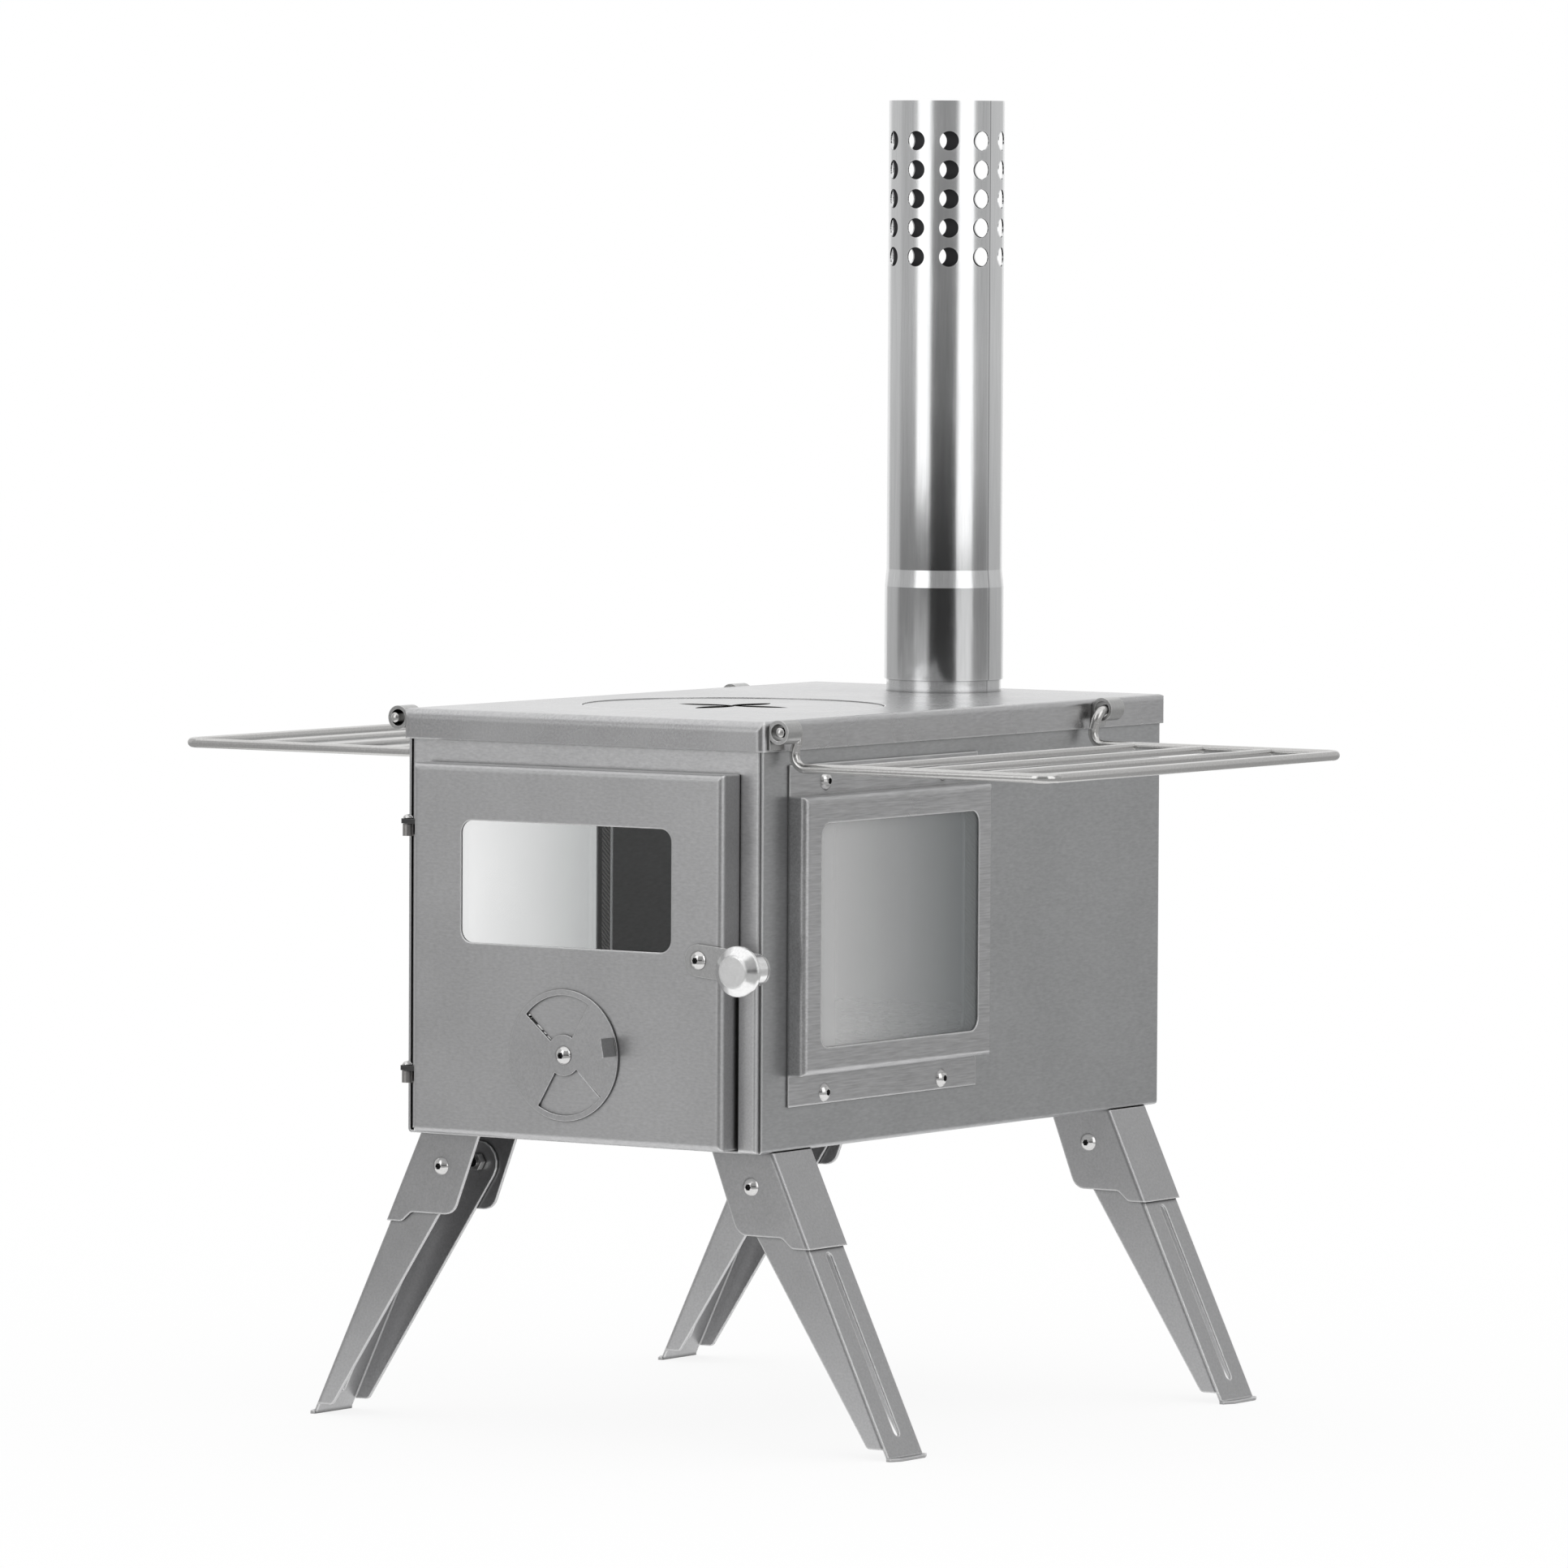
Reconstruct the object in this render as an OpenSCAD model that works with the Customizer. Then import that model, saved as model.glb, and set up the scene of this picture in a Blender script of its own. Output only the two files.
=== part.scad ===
// Portable tent stove: a folded sheet firebox on four folding legs, with a hinged fire door,
// two side windows, a lift-out hob plate, two folding wire shelves and a perforated flue end.
// Millimetres, +Z up. X runs from the hinge side of the door to its latch side, Y from front
// to back. The origin is on the ground, below the middle of the overall length.

/* [Firebox] */
// Outside width of the firebox
body_w = 214; // [210:1:230]
// Front to back length of the firebox
body_d = 367; // [360:1:420]
// Height of the firebox under its lid
body_h = 212; // [210:1:240]
// Thickness of the firebox sheet
sheet = 1.2; // [1:0.1:1.5]
// Height of the stove's underside above the ground
leg_h = 148; // [140:1:160]

/* [Lid and hob] */
// How far the lid stands out past each side wall
lid_over_side = 2; // [1.5:0.1:3]
// How far the lid stands out past the front and the back
lid_over_end = 3.5; // [2:0.1:5]
// Height of the lid's folded lip
lid_lip = 15; // [13:0.5:16]
// Radius of the lid's upright corners
lid_corner_r = 4; // [3:0.5:8]
// Radius of the round hob plate
hob_r = 76; // [60:1:80]
// Distance of the hob plate's centre from the firebox front
hob_back = 131; // [110:1:140]
// Length of each of the four leaf-shaped openings that form the lifting cross
leaf_l = 33.5; // [24:0.5:40]
// Greatest width of a leaf-shaped opening
leaf_w = 13; // [8:0.5:16]

/* [Fire door] */
// Width of the door
door_w = 187; // [180:1:190]
// Distance of the door's upper edge below the top of the firebox
door_down = 25; // [24:0.5:32]
// Depth of the door's folded pan
door_d = 16; // [13:0.5:18]
// Bend radius of the door's folded edges
door_fold_r = 3; // [2:0.5:5]
// Width of the door window
pane_w = 127; // [100:1:130]
// Distance of the window's upper edge below the door's upper edge
pane_down = 27.5; // [26:0.5:36]
// Height of the window's lower edge above the door's lower edge
pane_rise = 96.5; // [92:0.5:100]
// Corner radius of the window openings
pane_corner_r = 6.5; // [3:0.5:10]

/* [Air damper] */
// Radius of the turning damper disc
damper_r = 32.7; // [30:0.1:34]
// Height of the damper's centre above the door's lower edge
damper_rise = 43; // [41:0.5:48]
// Inner radius of the air windows
vent_r_in = 10.5; // [9:0.5:12]
// Outer radius of the air windows
vent_r_out = 29.6; // [26:0.1:29.8]
// Width of each air window in degrees
vent_angle = 80; // [50:1:84]

/* [Latch] */
// Height of the latch pivot above the door's lower edge
latch_rise = 93.7; // [85:0.1:100]
// Distance of the latch pivot from the door's free edge
latch_in = 13; // [11:0.5:15]
// Distance from the latch pivot to the knob's axis
latch_reach = 34.3; // [33.5:0.1:38]
// Width of the latch lever
latch_w = 16; // [13:0.5:18]
// Angle by which the closed lever hangs below level
latch_droop = 5; // [3:0.5:6]
// Diameter of the knob's head
knob_d = 25; // [20:0.5:28]
// Overall length of the knob
knob_l = 20.5; // [16:0.5:24]

/* [Side windows] */
// Distance of the window frame from the firebox front
frame_front = 22; // [16:1:30]
// Length of the window frame
frame_w = 170; // [150:1:180]
// Distance of the raised pan's upper edge below the top of the firebox
frame_down = 36.5; // [34:0.5:44]
// Height of the raised pan's lower edge above the underside
frame_rise = 37.5; // [34:0.5:40]
// How far the raised pan stands out from the wall
frame_out = 11; // [9:0.5:13]
// Height of each screwed flange
flange_h = 15.5; // [13:0.5:16]
// Width of the frame's face around the glass
frame_face = 13.5; // [11:0.5:18]
// Thickness of the window glass
glass_t = 4; // [3:0.5:5]

/* [Legs] */
// Distance of each leg bracket from the firebox's front or back
bracket_inset = 10; // [8:0.5:14]
// Width of a leg bracket from front to back
bracket_w = 36; // [32:0.5:40]
// Depth of a bracket below the firebox at its outer edge
bracket_drop = 46.5; // [44:0.5:50]
// Thickness of the leg and bracket sheet
leg_sheet = 1.5; // [1.2:0.1:1.8]
// Distance of the leg pivot in from the firebox side
pivot_in = 13; // [12:0.5:14]
// Distance of the leg pivot below the firebox
pivot_drop = 17.2; // [16.8:0.1:18.5]
// Lean of the bracket's outer face from upright
bracket_lean = 25; // [24:0.5:26]
// Lean of the leg's outer face from upright
leg_lean = 25.5; // [25.2:0.1:28]
// Lean of the leg's tapering inner edge from upright
leg_taper_lean = 33.3; // [32.5:0.1:36]
// Width of the long slot in the leg
leg_slot_w = 5; // [4:0.5:7]

/* [Shelves] */
// Diameter of the shelf wire
wire_d = 5; // [4:0.5:5.5]
// Diameter of the cross bars
bar_d = 4; // [3:0.5:5]
// Distance of the shelf's outer rail from the stove's centre
shelf_reach = 261; // [240:1:290]
// Distance from the wire's upright cranks to the first cross bar
bar_first = 27.4; // [20:0.1:32]
// How far the shelf hangs below its hinge line
shelf_drop = 18.2; // [16:0.1:20]
// Outside radius of the rolled shelf barrels
barrel_r = 6; // [5.6:0.1:6.5]
// Length of each rolled barrel
barrel_l = 12.5; // [10:0.5:16]
// Distance of the front barrel from the firebox front
barrel_front = 1; // [0:0.5:4]
// Distance from the front barrel's face to the rear barrel's far face
barrel_span = 309.5; // [300:0.5:340]

/* [Flue] */
// Outside diameter of the flue pipe
flue_d = 60; // [54:0.5:64]
// Length of the flue section
flue_l = 300; // [260:1:420]
// Distance of the flue's axis from the firebox's back
flue_back = 41; // [38:0.5:50]
// Thickness of the flue sheet
flue_sheet = 0.8; // [0.6:0.1:1]
// Length of the widened socket at the pipe's lower end
socket_l = 48; // [40:1:56]
// Diameter of the spark-guard holes
spark_d = 10; // [7:0.5:11]
// Distance between rows of holes
spark_pitch = 15; // [13:0.5:18]
// Rows of holes
spark_rows = 5; // [2:1:6]
// Holes in each row
spark_count = 10; // [6:1:10]
// Angle between neighbouring holes of a row, the rest of the turn being left plain at the seam
spark_step = 34.5; // [30:0.5:36]

/* [Grate] */
// Height of the grate above the underside
grate_rise = 46; // [40:0.5:48]
// Length of one diamond of the expanded metal
mesh_long = 30; // [26:1:36]
// Width of one diamond
mesh_short = 15; // [13:0.5:18]
// Width of a strand
strand_w = 2.4; // [1.8:0.1:3]

/* [Hidden] */
$fn = 64;

// Clearances and overruns
over = 1;
seam = 0.2;
slip = 0.3;
touch_gap = 0.4;
thread_gap = 0.05;
pivot_gap = 0.08;
far = 400;
slot_end_share = 0.4975;

// Button-head screw sizes
m5_r = 2.45;
m5_hole_r = 2.5;
m5_head_r = 4.75;
m5_head_h = 2.75;
m5_key = 1.75;
m5_key_depth = 1.6;
m5_nut_r = 4.6;
m5_nut_h = 4;
m4_r = 1.95;
m4_hole_r = 2;
m4_nut_r = 4;
m4_nut_h = 3.2;
thread_end = 1;
hex = 6;

// Levels and planes worked out from the driving sizes
latch_t = 1.2;
knob_front = door_d + seam + latch_t + knob_l;
front_y = (knob_front - body_d - lid_over_end) / 2;
wall_in = body_w / 2 - sheet;
lid_t = 1.3;
lip_t = 1;
lid_side_r = 2.6;
lid_end_r = 5;
lid_fold_r = lid_end_r / 2;
lid_top = body_h + lid_t;
lid_w = body_w + 2 * lid_over_side;
lid_d = body_d + 2 * lid_over_end;
flange_fold = 12;
panel_fold_r = 2;

// Fuel opening in the front panel
fuel_w = 166;
fuel_rise = 14;
fuel_down = 40;
fuel_h = body_h - fuel_rise - fuel_down;
fuel_corner_r = 8;

// Hob seat
hob_gap = 0.7;
hob_sink = 0.5;
hob_lap = 8;
hob_ring_w = 16;
leaf_overlap = 1;

// Door planes
door_rise = 2;
door_h = body_h - door_rise - door_down;
pane_h = door_h - pane_rise - pane_down;
door_gap = 0.5;
door_front = -door_d;
door_sheet = 1.2;
damper_z = door_rise + damper_rise;
damper_t = 1.2;
damper_gap = 0.2;
disc_start = 59.5;
vent_slit = 2;
vent_start = disc_start + vent_angle - vent_slit;
vent_steps = 6;
ear_angle = 10.6;
ear_w = 9.6;
ear_in = 2;
ear_out = 11.5;
disc_bore_r = m5_r + pivot_gap;

// Latch planes
latch_x = door_w / 2 - latch_in;
latch_z = door_rise + latch_rise;
latch_back = door_front - seam;
latch_front = latch_back - latch_t;
knob_neck_r = 7.9;
knob_head_l = 7.5;
knob_chamfer = 2.2;
knob_face_r = 8;
knob_edge = 1;
hook_w = 9;
hook_t = 1.5;
hook_gap = 0.8;
hook_lip = 6;
strip_w = 11;
strip_out = 3.5;
strip_fold_r = 1.6;
strip_gap = 1.2;
strip_x = door_w / 2 + strip_gap;
strip_low = 0.6;
strip_high = 84;

// Hinges
hinge_out = 10;
hinge_forward = 6;
hinge_x = -door_w / 2 - hinge_out;
hinge_y = -hinge_forward;
hinge_r = 2.7;
hinge_pin_r = 1.5;
hinge_lug_r = 3.4;
hinge_lug_t = 2.4;
hinge_barrel_l = 6;
hinge_head_h = 1.9;
hinge_low = 25.5;
hinge_down = 37.5;
hinge_levels = [hinge_low, door_rise + door_h - hinge_down];
hinge_lap = 6;
hinge_leaf_t = 1;

// Side window planes
frame_t = 1;
frame_h = body_h - frame_rise - frame_down;
frame_bend_r = 3.5;
wall_x = body_w / 2;
frame_x = wall_x + frame_out;
glass_lap = 6;
glass_corner_r = 1;
gasket_w = 5;
screw_in = 32;
screw_low = 5.5;
screw_high = 9;

// Glass held in the door
door_glass_lap = 8;
door_glass_t = 4;
stud_in = 12;
retainer_clear = 5;
retainer_margin = 1;
retainer_t = 1.2;
stud_l = 9;

// Leg geometry, with the pivot as its own origin
pivot_x = body_w / 2 - pivot_in;
bracket_top_w = 36.5;
bracket_inner_drop = 41.5;
bracket_inner_lean = 21;
bracket_step = [5.5, 11.5];
bracket_heel_r = 8;
bracket_step_r = 4;
bracket_fold_r = 2.5;
heel_r = 11.5;
heel_top = 10.5;
heel_round_r = heel_r - slip;
toe_r = 3;
bracket_toe = [pivot_in + bracket_drop * tan(bracket_lean) - leg_sheet / cos(bracket_lean),
    bracket_drop - pivot_drop];
web_off = bracket_toe.x * cos(leg_lean) - bracket_toe.y * sin(leg_lean) - seam;
leg_fold_r = 2.2;
cheek_clear = 5.5;
foot_lip = 4;
foot_chamfer = 6;
slot_top = 49;
slot_end = 11;
leg_w = bracket_w - 2 * leg_sheet - 2 * slip;
bracket_places = [bracket_inset, body_d - bracket_inset - bracket_w];

// Shelf geometry
barrel_sheet = 1.8;
tail_up = 1;
barrel_x = lid_w / 2 + barrel_r;
barrel_down = 3.8;
barrel_z = body_h - barrel_down;
barrel_bore_r = barrel_r - barrel_sheet;
wire_r = wire_d / 2;
bar_count = 3;
wire_out = 0.8;
wire_dome = 1.2;
crank_gap = 2.4;
hang_x = barrel_x + barrel_bore_r - slip - wire_r;
crank_x = wall_x + frame_t + slip + wire_r;
bar_pitch = (shelf_reach - crank_x - bar_first) / bar_count;
wire_bend = 6.5;
bend_swell = 0.04;
bend_lap = 0.4;
corner_bend = 8;
rear_barrel = barrel_front + barrel_span - barrel_l;
shelf_front = barrel_front + barrel_l + crank_gap + wire_r;
shelf_rear = rear_barrel - crank_gap - wire_r;

// Flue geometry
flue_r = flue_d / 2;
flue_y = body_d - flue_back;
flue_stand = 6.4;
flue_bottom = lid_top + flue_stand;
flue_gap = 0.1;
socket_r_in = flue_r + flue_gap;
socket_r = socket_r_in + flue_sheet;
taper_l = 9;
collar_t = 1;
collar_r = socket_r_in - slip;
collar_flange = 8;
spark_top = 20.8;
spark_turn = 133;

// Grate geometry
grate_t = 2;
blunt_share = 0.14;
grate_side_gap = 2;
grate_end_gap = 14;
grate_w = body_w - 2 * sheet - 2 * grate_side_gap;
grate_l = body_d - 2 * grate_end_gap;
rail_w = 11;
rail_t = 1.5;
grate_rim = 4;

// Points of a fillet of radius r at corner p, between its neighbours a and b
function unit(v) = v / norm(v);
function fillet(a, p, b, r, n) =
    let (u = unit(a - p), v = unit(b - p), half = acos(u * v) / 2,
         c = p + unit(u + v) * r / sin(half),
         s = p + u * r / tan(half) - c,
         e = p + v * r / tan(half) - c,
         from = atan2(s.y, s.x),
         turn = atan2(s.x * e.y - s.y * e.x, s * e))
    [for (i = [0 : n]) c + r * [cos(from + turn * i / n), sin(from + turn * i / n)]];

// Outline with each corner rounded by its own radius, zero for a sharp one
function rounded(pts, radii, n = 6) =
    let (m = len(pts))
    [for (i = [0 : m - 1])
        each radii[i] == 0 ? [pts[i]]
            : fillet(pts[(i + m - 1) % m], pts[i], pts[(i + 1) % m], radii[i], n)];

// Puts a shape drawn from the firebox's front lower edge into the stove's own frame
module at_body() {
    translate([0, front_y, leg_h]) children();
}

// Keeps a right-hand part, or mirrors it to the left
module on_side(side) {
    if (side > 0) children();
    else mirror([1, 0, 0]) children();
}

// Turns an outline drawn in X and Z into a plate from y = 0 back to y = depth
module plate_y(depth) {
    translate([0, depth, 0]) rotate([90, 0, 0]) linear_extrude(depth) children();
}

// Turns an outline drawn in Y and Z into a plate from x = 0 out to x = depth
module plate_x(depth) {
    rotate([90, 0, 90]) linear_extrude(depth) children();
}

// Rectangle with four rounded corners, its lower left corner at the origin
module round_rect(w, h, r) {
    translate([r, 0]) square([w - 2 * r, h]);
    translate([0, r]) square([w, h - 2 * r]);
    for (x = [r, w - r], y = [r, h - r]) translate([x, y]) circle(r);
}

// Rectangle w wide and d deep whose two corners at y = 0 are bent round, d being more than 2 r
module bent_rect(w, d, r) {
    translate([0, r]) square([w, d - r]);
    translate([r, 0]) square([w - 2 * r, d]);
    for (x = [r, w - r]) translate([x, r]) circle(r);
}

// Solid block with bent front edges, open sheet behind: front at y = 0
module pan_block(w, h, d, r) {
    intersection() {
        linear_extrude(h) bent_rect(w, d, r);
        translate([w, 0, 0]) rotate([90, 0, 90]) mirror([0, 0, 1])
            linear_extrude(w) rotate(90) mirror([0, 1]) bent_rect(h, d, r);
    }
}

// Folded pan: front face at y = 0, walls running back to y = d
module pan(w, h, d, r, t) {
    difference() {
        pan_block(w, h, d, r);
        translate([t, t, t]) pan_block(w - 2 * t, h - 2 * t, d, r - t);
    }
}

// Button-head screw pointing down, the head's seat at z = 0
module button_screw(shank_l) {
    ball_r = (m5_head_r * m5_head_r + m5_head_h * m5_head_h) / (2 * m5_head_h);
    difference() {
        union() {
            intersection() {
                translate([0, 0, m5_head_h - ball_r]) sphere(ball_r);
                cylinder(r = m5_head_r, h = m5_head_h);
            }
            translate([0, 0, -shank_l]) cylinder(r = m5_r, h = shank_l + m5_head_h / 2);
        }
        translate([0, 0, m5_head_h - m5_key_depth])
            cylinder(r = m5_key, h = m5_key_depth + over, $fn = hex);
    }
}

// Hexagon nut standing on z = 0
module hex_nut(nut_r, nut_h, hole_r) {
    difference() {
        cylinder(r = nut_r, h = nut_h, $fn = hex);
        translate([0, 0, -over]) cylinder(r = hole_r, h = nut_h + 2 * over);
    }
}

// Ring sector between two radii, starting at angle a
module vent_sector(a, grow) {
    reach = 2 * vent_r_out;
    intersection() {
        difference() {
            circle(vent_r_out + grow);
            circle(vent_r_in - grow);
        }
        polygon(concat([[0, 0]], [for (i = [0 : vent_steps])
            reach * [cos(a + vent_angle * i / vent_steps), sin(a + vent_angle * i / vent_steps)]]));
    }
}

// U-shaped shell: floor and two side walls, with the window cut-outs
module firebox_shell() {
    opening_w = frame_w - 2 * frame_face;
    opening_h = frame_h - 2 * frame_face;
    color("silver") at_body() difference() {
        translate([-body_w / 2, body_d, 0]) rotate([90, 0, 0]) linear_extrude(body_d) difference() {
            bent_rect(body_w, body_h, panel_fold_r);
            translate([sheet, sheet])
                bent_rect(body_w - 2 * sheet, body_h, panel_fold_r - sheet);
        }
        translate([-body_w, frame_front + frame_face, frame_rise + frame_face])
            plate_x(2 * body_w) round_rect(opening_w, opening_h, pane_corner_r);
        for (p = frame_screw_points())
            translate([-body_w, p.x, p.y]) rotate([0, 90, 0]) cylinder(r = m5_hole_r, h = 2 * body_w);
    }
}

// Front panel folded back inside the shell, with the fuel opening
module front_panel() {
    w = body_w - 2 * sheet - 2 * slip;
    h = body_h - sheet - 2 * slip;
    color("silver") at_body() difference() {
        translate([-w / 2, 0, sheet + slip]) pan(w, h, flange_fold, panel_fold_r, sheet);
        translate([-fuel_w / 2, -over, fuel_rise])
            plate_y(flange_fold / 2) round_rect(fuel_w, fuel_h, fuel_corner_r);
    }
}

// Plain rear panel, folded forward inside the shell
module rear_panel() {
    w = body_w - 2 * sheet - 2 * slip;
    h = body_h - sheet - 2 * slip;
    notch_r = collar_r + collar_flange + slip;
    color("silver") at_body() difference() {
        translate([w / 2, body_d, sheet + slip]) rotate([0, 0, 180])
            pan(w, h, flange_fold, panel_fold_r, sheet);
        translate([0, flue_y, body_h - 2 * flange_fold]) cylinder(r = notch_r, h = 3 * flange_fold);
    }
}

// Block with the lid's bent side and end edges and its upright corners, lower front left at the origin
module lid_block(w, d, h, side_r, end_r, corner_r) {
    intersection() {
        linear_extrude(h) round_rect(w, d, corner_r);
        plate_y(d) translate([0, h]) mirror([0, 1]) bent_rect(w, h, side_r);
        plate_x(w) translate([0, h]) mirror([0, 1]) bent_rect(d, h, end_r);
    }
}

// Lid with folded lips, the hob hole and the flue hole
module lid() {
    color("gainsboro") at_body() difference() {
        translate([-lid_w / 2, -lid_over_end, lid_top - lid_lip])
            lid_block(lid_w, lid_d, lid_lip, lid_side_r, lid_end_r, lid_corner_r);
        translate([-lid_w / 2 + lip_t, -lid_over_end + lip_t, lid_top - lid_lip - lid_t])
            lid_block(lid_w - 2 * lip_t, lid_d - 2 * lip_t, lid_lip, lid_over_side - lip_t,
                lid_fold_r, lid_corner_r - lip_t);
        translate([0, hob_back, body_h - over]) cylinder(r = hob_r + hob_gap, h = lid_lip);
        translate([0, flue_y, body_h - over]) cylinder(r = collar_r + thread_gap, h = lid_lip);
    }
}

// Pressed ring under the lid, its inner part set lower as the seat of the hob plate
module hob_ring() {
    seat_in = hob_r - hob_lap;
    step_r = hob_r + hob_gap;
    color("gray") at_body() translate([0, hob_back, body_h]) rotate_extrude()
        polygon([[seat_in, -lid_t - hob_sink], [step_r + lid_t, -lid_t - hob_sink],
            [step_r + lid_t, -lid_t], [seat_in + hob_ring_w, -lid_t], [seat_in + hob_ring_w, 0],
            [step_r, 0], [step_r, -hob_sink], [seat_in, -hob_sink]]);
}

// Leaf between two equal arcs, from just behind the origin to x = l
module leaf(l, w) {
    half = (l + leaf_overlap) / 2;
    bow_r = (half * half + w * w / 4) / w;
    translate([l - half, 0]) intersection() {
        translate([0, bow_r - w / 2]) circle(bow_r);
        translate([0, w / 2 - bow_r]) circle(bow_r);
    }
}

// Lift-out hob plate, a little below the lid, with four leaf-shaped openings forming a cross
module hob_plate() {
    color("gainsboro") at_body() translate([0, hob_back, body_h - hob_sink]) difference() {
        cylinder(r = hob_r, h = lid_t);
        translate([0, 0, -over]) linear_extrude(lid_t + 2 * over)
            for (a = [0 : 90 : 270]) rotate(a) leaf(leaf_l, leaf_w);
    }
}

// Collar that the flue pipe is pushed on, with a flange under the lid
module flue_collar() {
    top = flue_bottom + socket_l - slip;
    color("gainsboro") at_body() translate([0, flue_y, 0]) rotate_extrude()
        polygon([[collar_r - collar_t, body_h - lid_t], [collar_r + collar_flange, body_h - lid_t],
            [collar_r + collar_flange, body_h], [collar_r, body_h], [collar_r, top],
            [collar_r - collar_t, top]]);
}

// Flue end: widened socket, taper, plain pipe and rows of spark-guard holes
module flue_pipe() {
    top = flue_bottom + flue_l;
    shoulder = flue_bottom + socket_l;
    inner = flue_r - flue_sheet;
    seam_span = 360 - (spark_count - 1) * spark_step;
    color("whitesmoke") at_body() translate([0, flue_y, 0]) difference() {
        rotate(spark_turn - seam_span / 2) rotate_extrude()
            polygon([[socket_r_in, flue_bottom], [socket_r, flue_bottom],
                [socket_r, shoulder], [flue_r, shoulder + taper_l], [flue_r, top],
                [inner, top], [inner, shoulder + taper_l], [socket_r_in, shoulder]]);
        for (row = [0 : spark_rows - 1], column = [0 : spark_count - 1])
            translate([0, 0, top - spark_top - row * spark_pitch])
                rotate([0, 90, spark_turn + column * spark_step])
                    translate([0, 0, inner - 2 * over])
                        cylinder(r = spark_d / 2, h = flue_sheet + 4 * over);
    }
}

// One diamond of the expanded metal, centred on the origin
module diamond(long, short) {
    polygon([[-long / 2, 0], [-long * blunt_share, -short / 2], [long * blunt_share, -short / 2],
        [long / 2, 0], [long * blunt_share, short / 2], [-long * blunt_share, short / 2]]);
}

// Expanded-metal grate: staggered rows of diamonds inside a plain rim
module grate() {
    rows = floor((grate_l - 2 * grate_rim) / mesh_short * 2) - 1;
    columns = floor((grate_w - 2 * grate_rim) / mesh_long);
    start_x = -columns * mesh_long / 2;
    start_y = (grate_l - (rows + 1) * mesh_short / 2) / 2;
    color("dimgray") at_body() translate([0, grate_end_gap, grate_rise])
        linear_extrude(grate_t) difference() {
            translate([-grate_w / 2, 0]) square([grate_w, grate_l]);
            for (row = [0 : rows - 1], column = [0 : columns - 1 - row % 2])
                translate([start_x + (column + 0.5 + (row % 2) / 2) * mesh_long,
                    start_y + (row + 1) * mesh_short / 2])
                    diamond(mesh_long - 2 * strand_w, mesh_short - strand_w);
        }
}

// Two angle rails on the side walls that carry the grate
module grate_rails() {
    color("gray") at_body() for (side = [-1, 1]) on_side(side)
        translate([wall_in - seam - rail_w, grate_end_gap, grate_rise - rail_w])
            plate_y(grate_l) {
                translate([rail_w - rail_t, 0]) square([rail_t, rail_w]);
                translate([0, rail_w - rail_t]) square([rail_w, rail_t]);
            }
}

// Screw places on a window frame, as distance from the front and height
function frame_screw_points() =
    [for (y = [frame_front + screw_in, frame_front + frame_w - screw_in],
          z = [frame_rise - flange_h + screw_low, frame_rise + frame_h + flange_h - screw_high])
        [y, z]];

// Window frame: raised pan with a flange above and below
module window_frame(side) {
    color("silver") at_body() on_side(side) difference() {
        union() {
            translate([frame_x, frame_front, frame_rise]) rotate([0, 0, 90])
                pan(frame_w, frame_h, frame_out, frame_bend_r, frame_t);
            for (z = [frame_rise - flange_h, frame_rise + frame_h - frame_t])
                translate([wall_x, frame_front, z]) cube([frame_t, frame_w, flange_h + frame_t]);
        }
        translate([wall_x, frame_front + frame_face, frame_rise + frame_face])
            plate_x(2 * frame_out)
                round_rect(frame_w - 2 * frame_face, frame_h - 2 * frame_face, pane_corner_r);
        for (p = frame_screw_points())
            translate([wall_x - over, p.x, p.y]) rotate([0, 90, 0])
                cylinder(r = m5_hole_r, h = 2 * frame_out);
    }
}
module window_frame_right() { window_frame(1); }
module window_frame_left() { window_frame(-1); }

// Window glass behind the frame's face
module window_glass(side) {
    lap = frame_face - glass_lap;
    color("lightblue", 0.3) at_body() on_side(side)
        translate([frame_x - frame_t - glass_t, frame_front + lap, frame_rise + lap])
            plate_x(glass_t) round_rect(frame_w - 2 * lap, frame_h - 2 * lap, glass_corner_r);
}
module window_glass_right() { window_glass(1); }
module window_glass_left() { window_glass(-1); }

// Rope gasket between the wall and the glass
module window_gasket(side) {
    lap = frame_face - glass_lap;
    color("dimgray") at_body() on_side(side) translate([wall_x, frame_front + lap, frame_rise + lap])
        plate_x(frame_out - frame_t - glass_t) difference() {
            square([frame_w - 2 * lap, frame_h - 2 * lap]);
            translate([gasket_w, gasket_w])
                square([frame_w - 2 * lap - 2 * gasket_w, frame_h - 2 * lap - 2 * gasket_w]);
        }
}
module window_gasket_right() { window_gasket(1); }
module window_gasket_left() { window_gasket(-1); }

// Four button screws through a window frame's flanges
module window_screws(side) {
    color("gainsboro") at_body() on_side(side) for (p = frame_screw_points())
        translate([wall_x + frame_t, p.x, p.y]) rotate([0, 90, 0])
            button_screw(frame_t + sheet + m5_nut_h + thread_end);
}
module window_screws_right() { window_screws(1); }
module window_screws_left() { window_screws(-1); }

// Nuts of the window screws inside the two walls
module window_nuts() {
    color("gray") at_body() for (side = [-1, 1], p = frame_screw_points()) on_side(side)
        translate([wall_in - m5_nut_h, p.x, p.y]) rotate([0, 90, 0])
            hex_nut(m5_nut_r, m5_nut_h, m5_hole_r);
}

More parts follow.
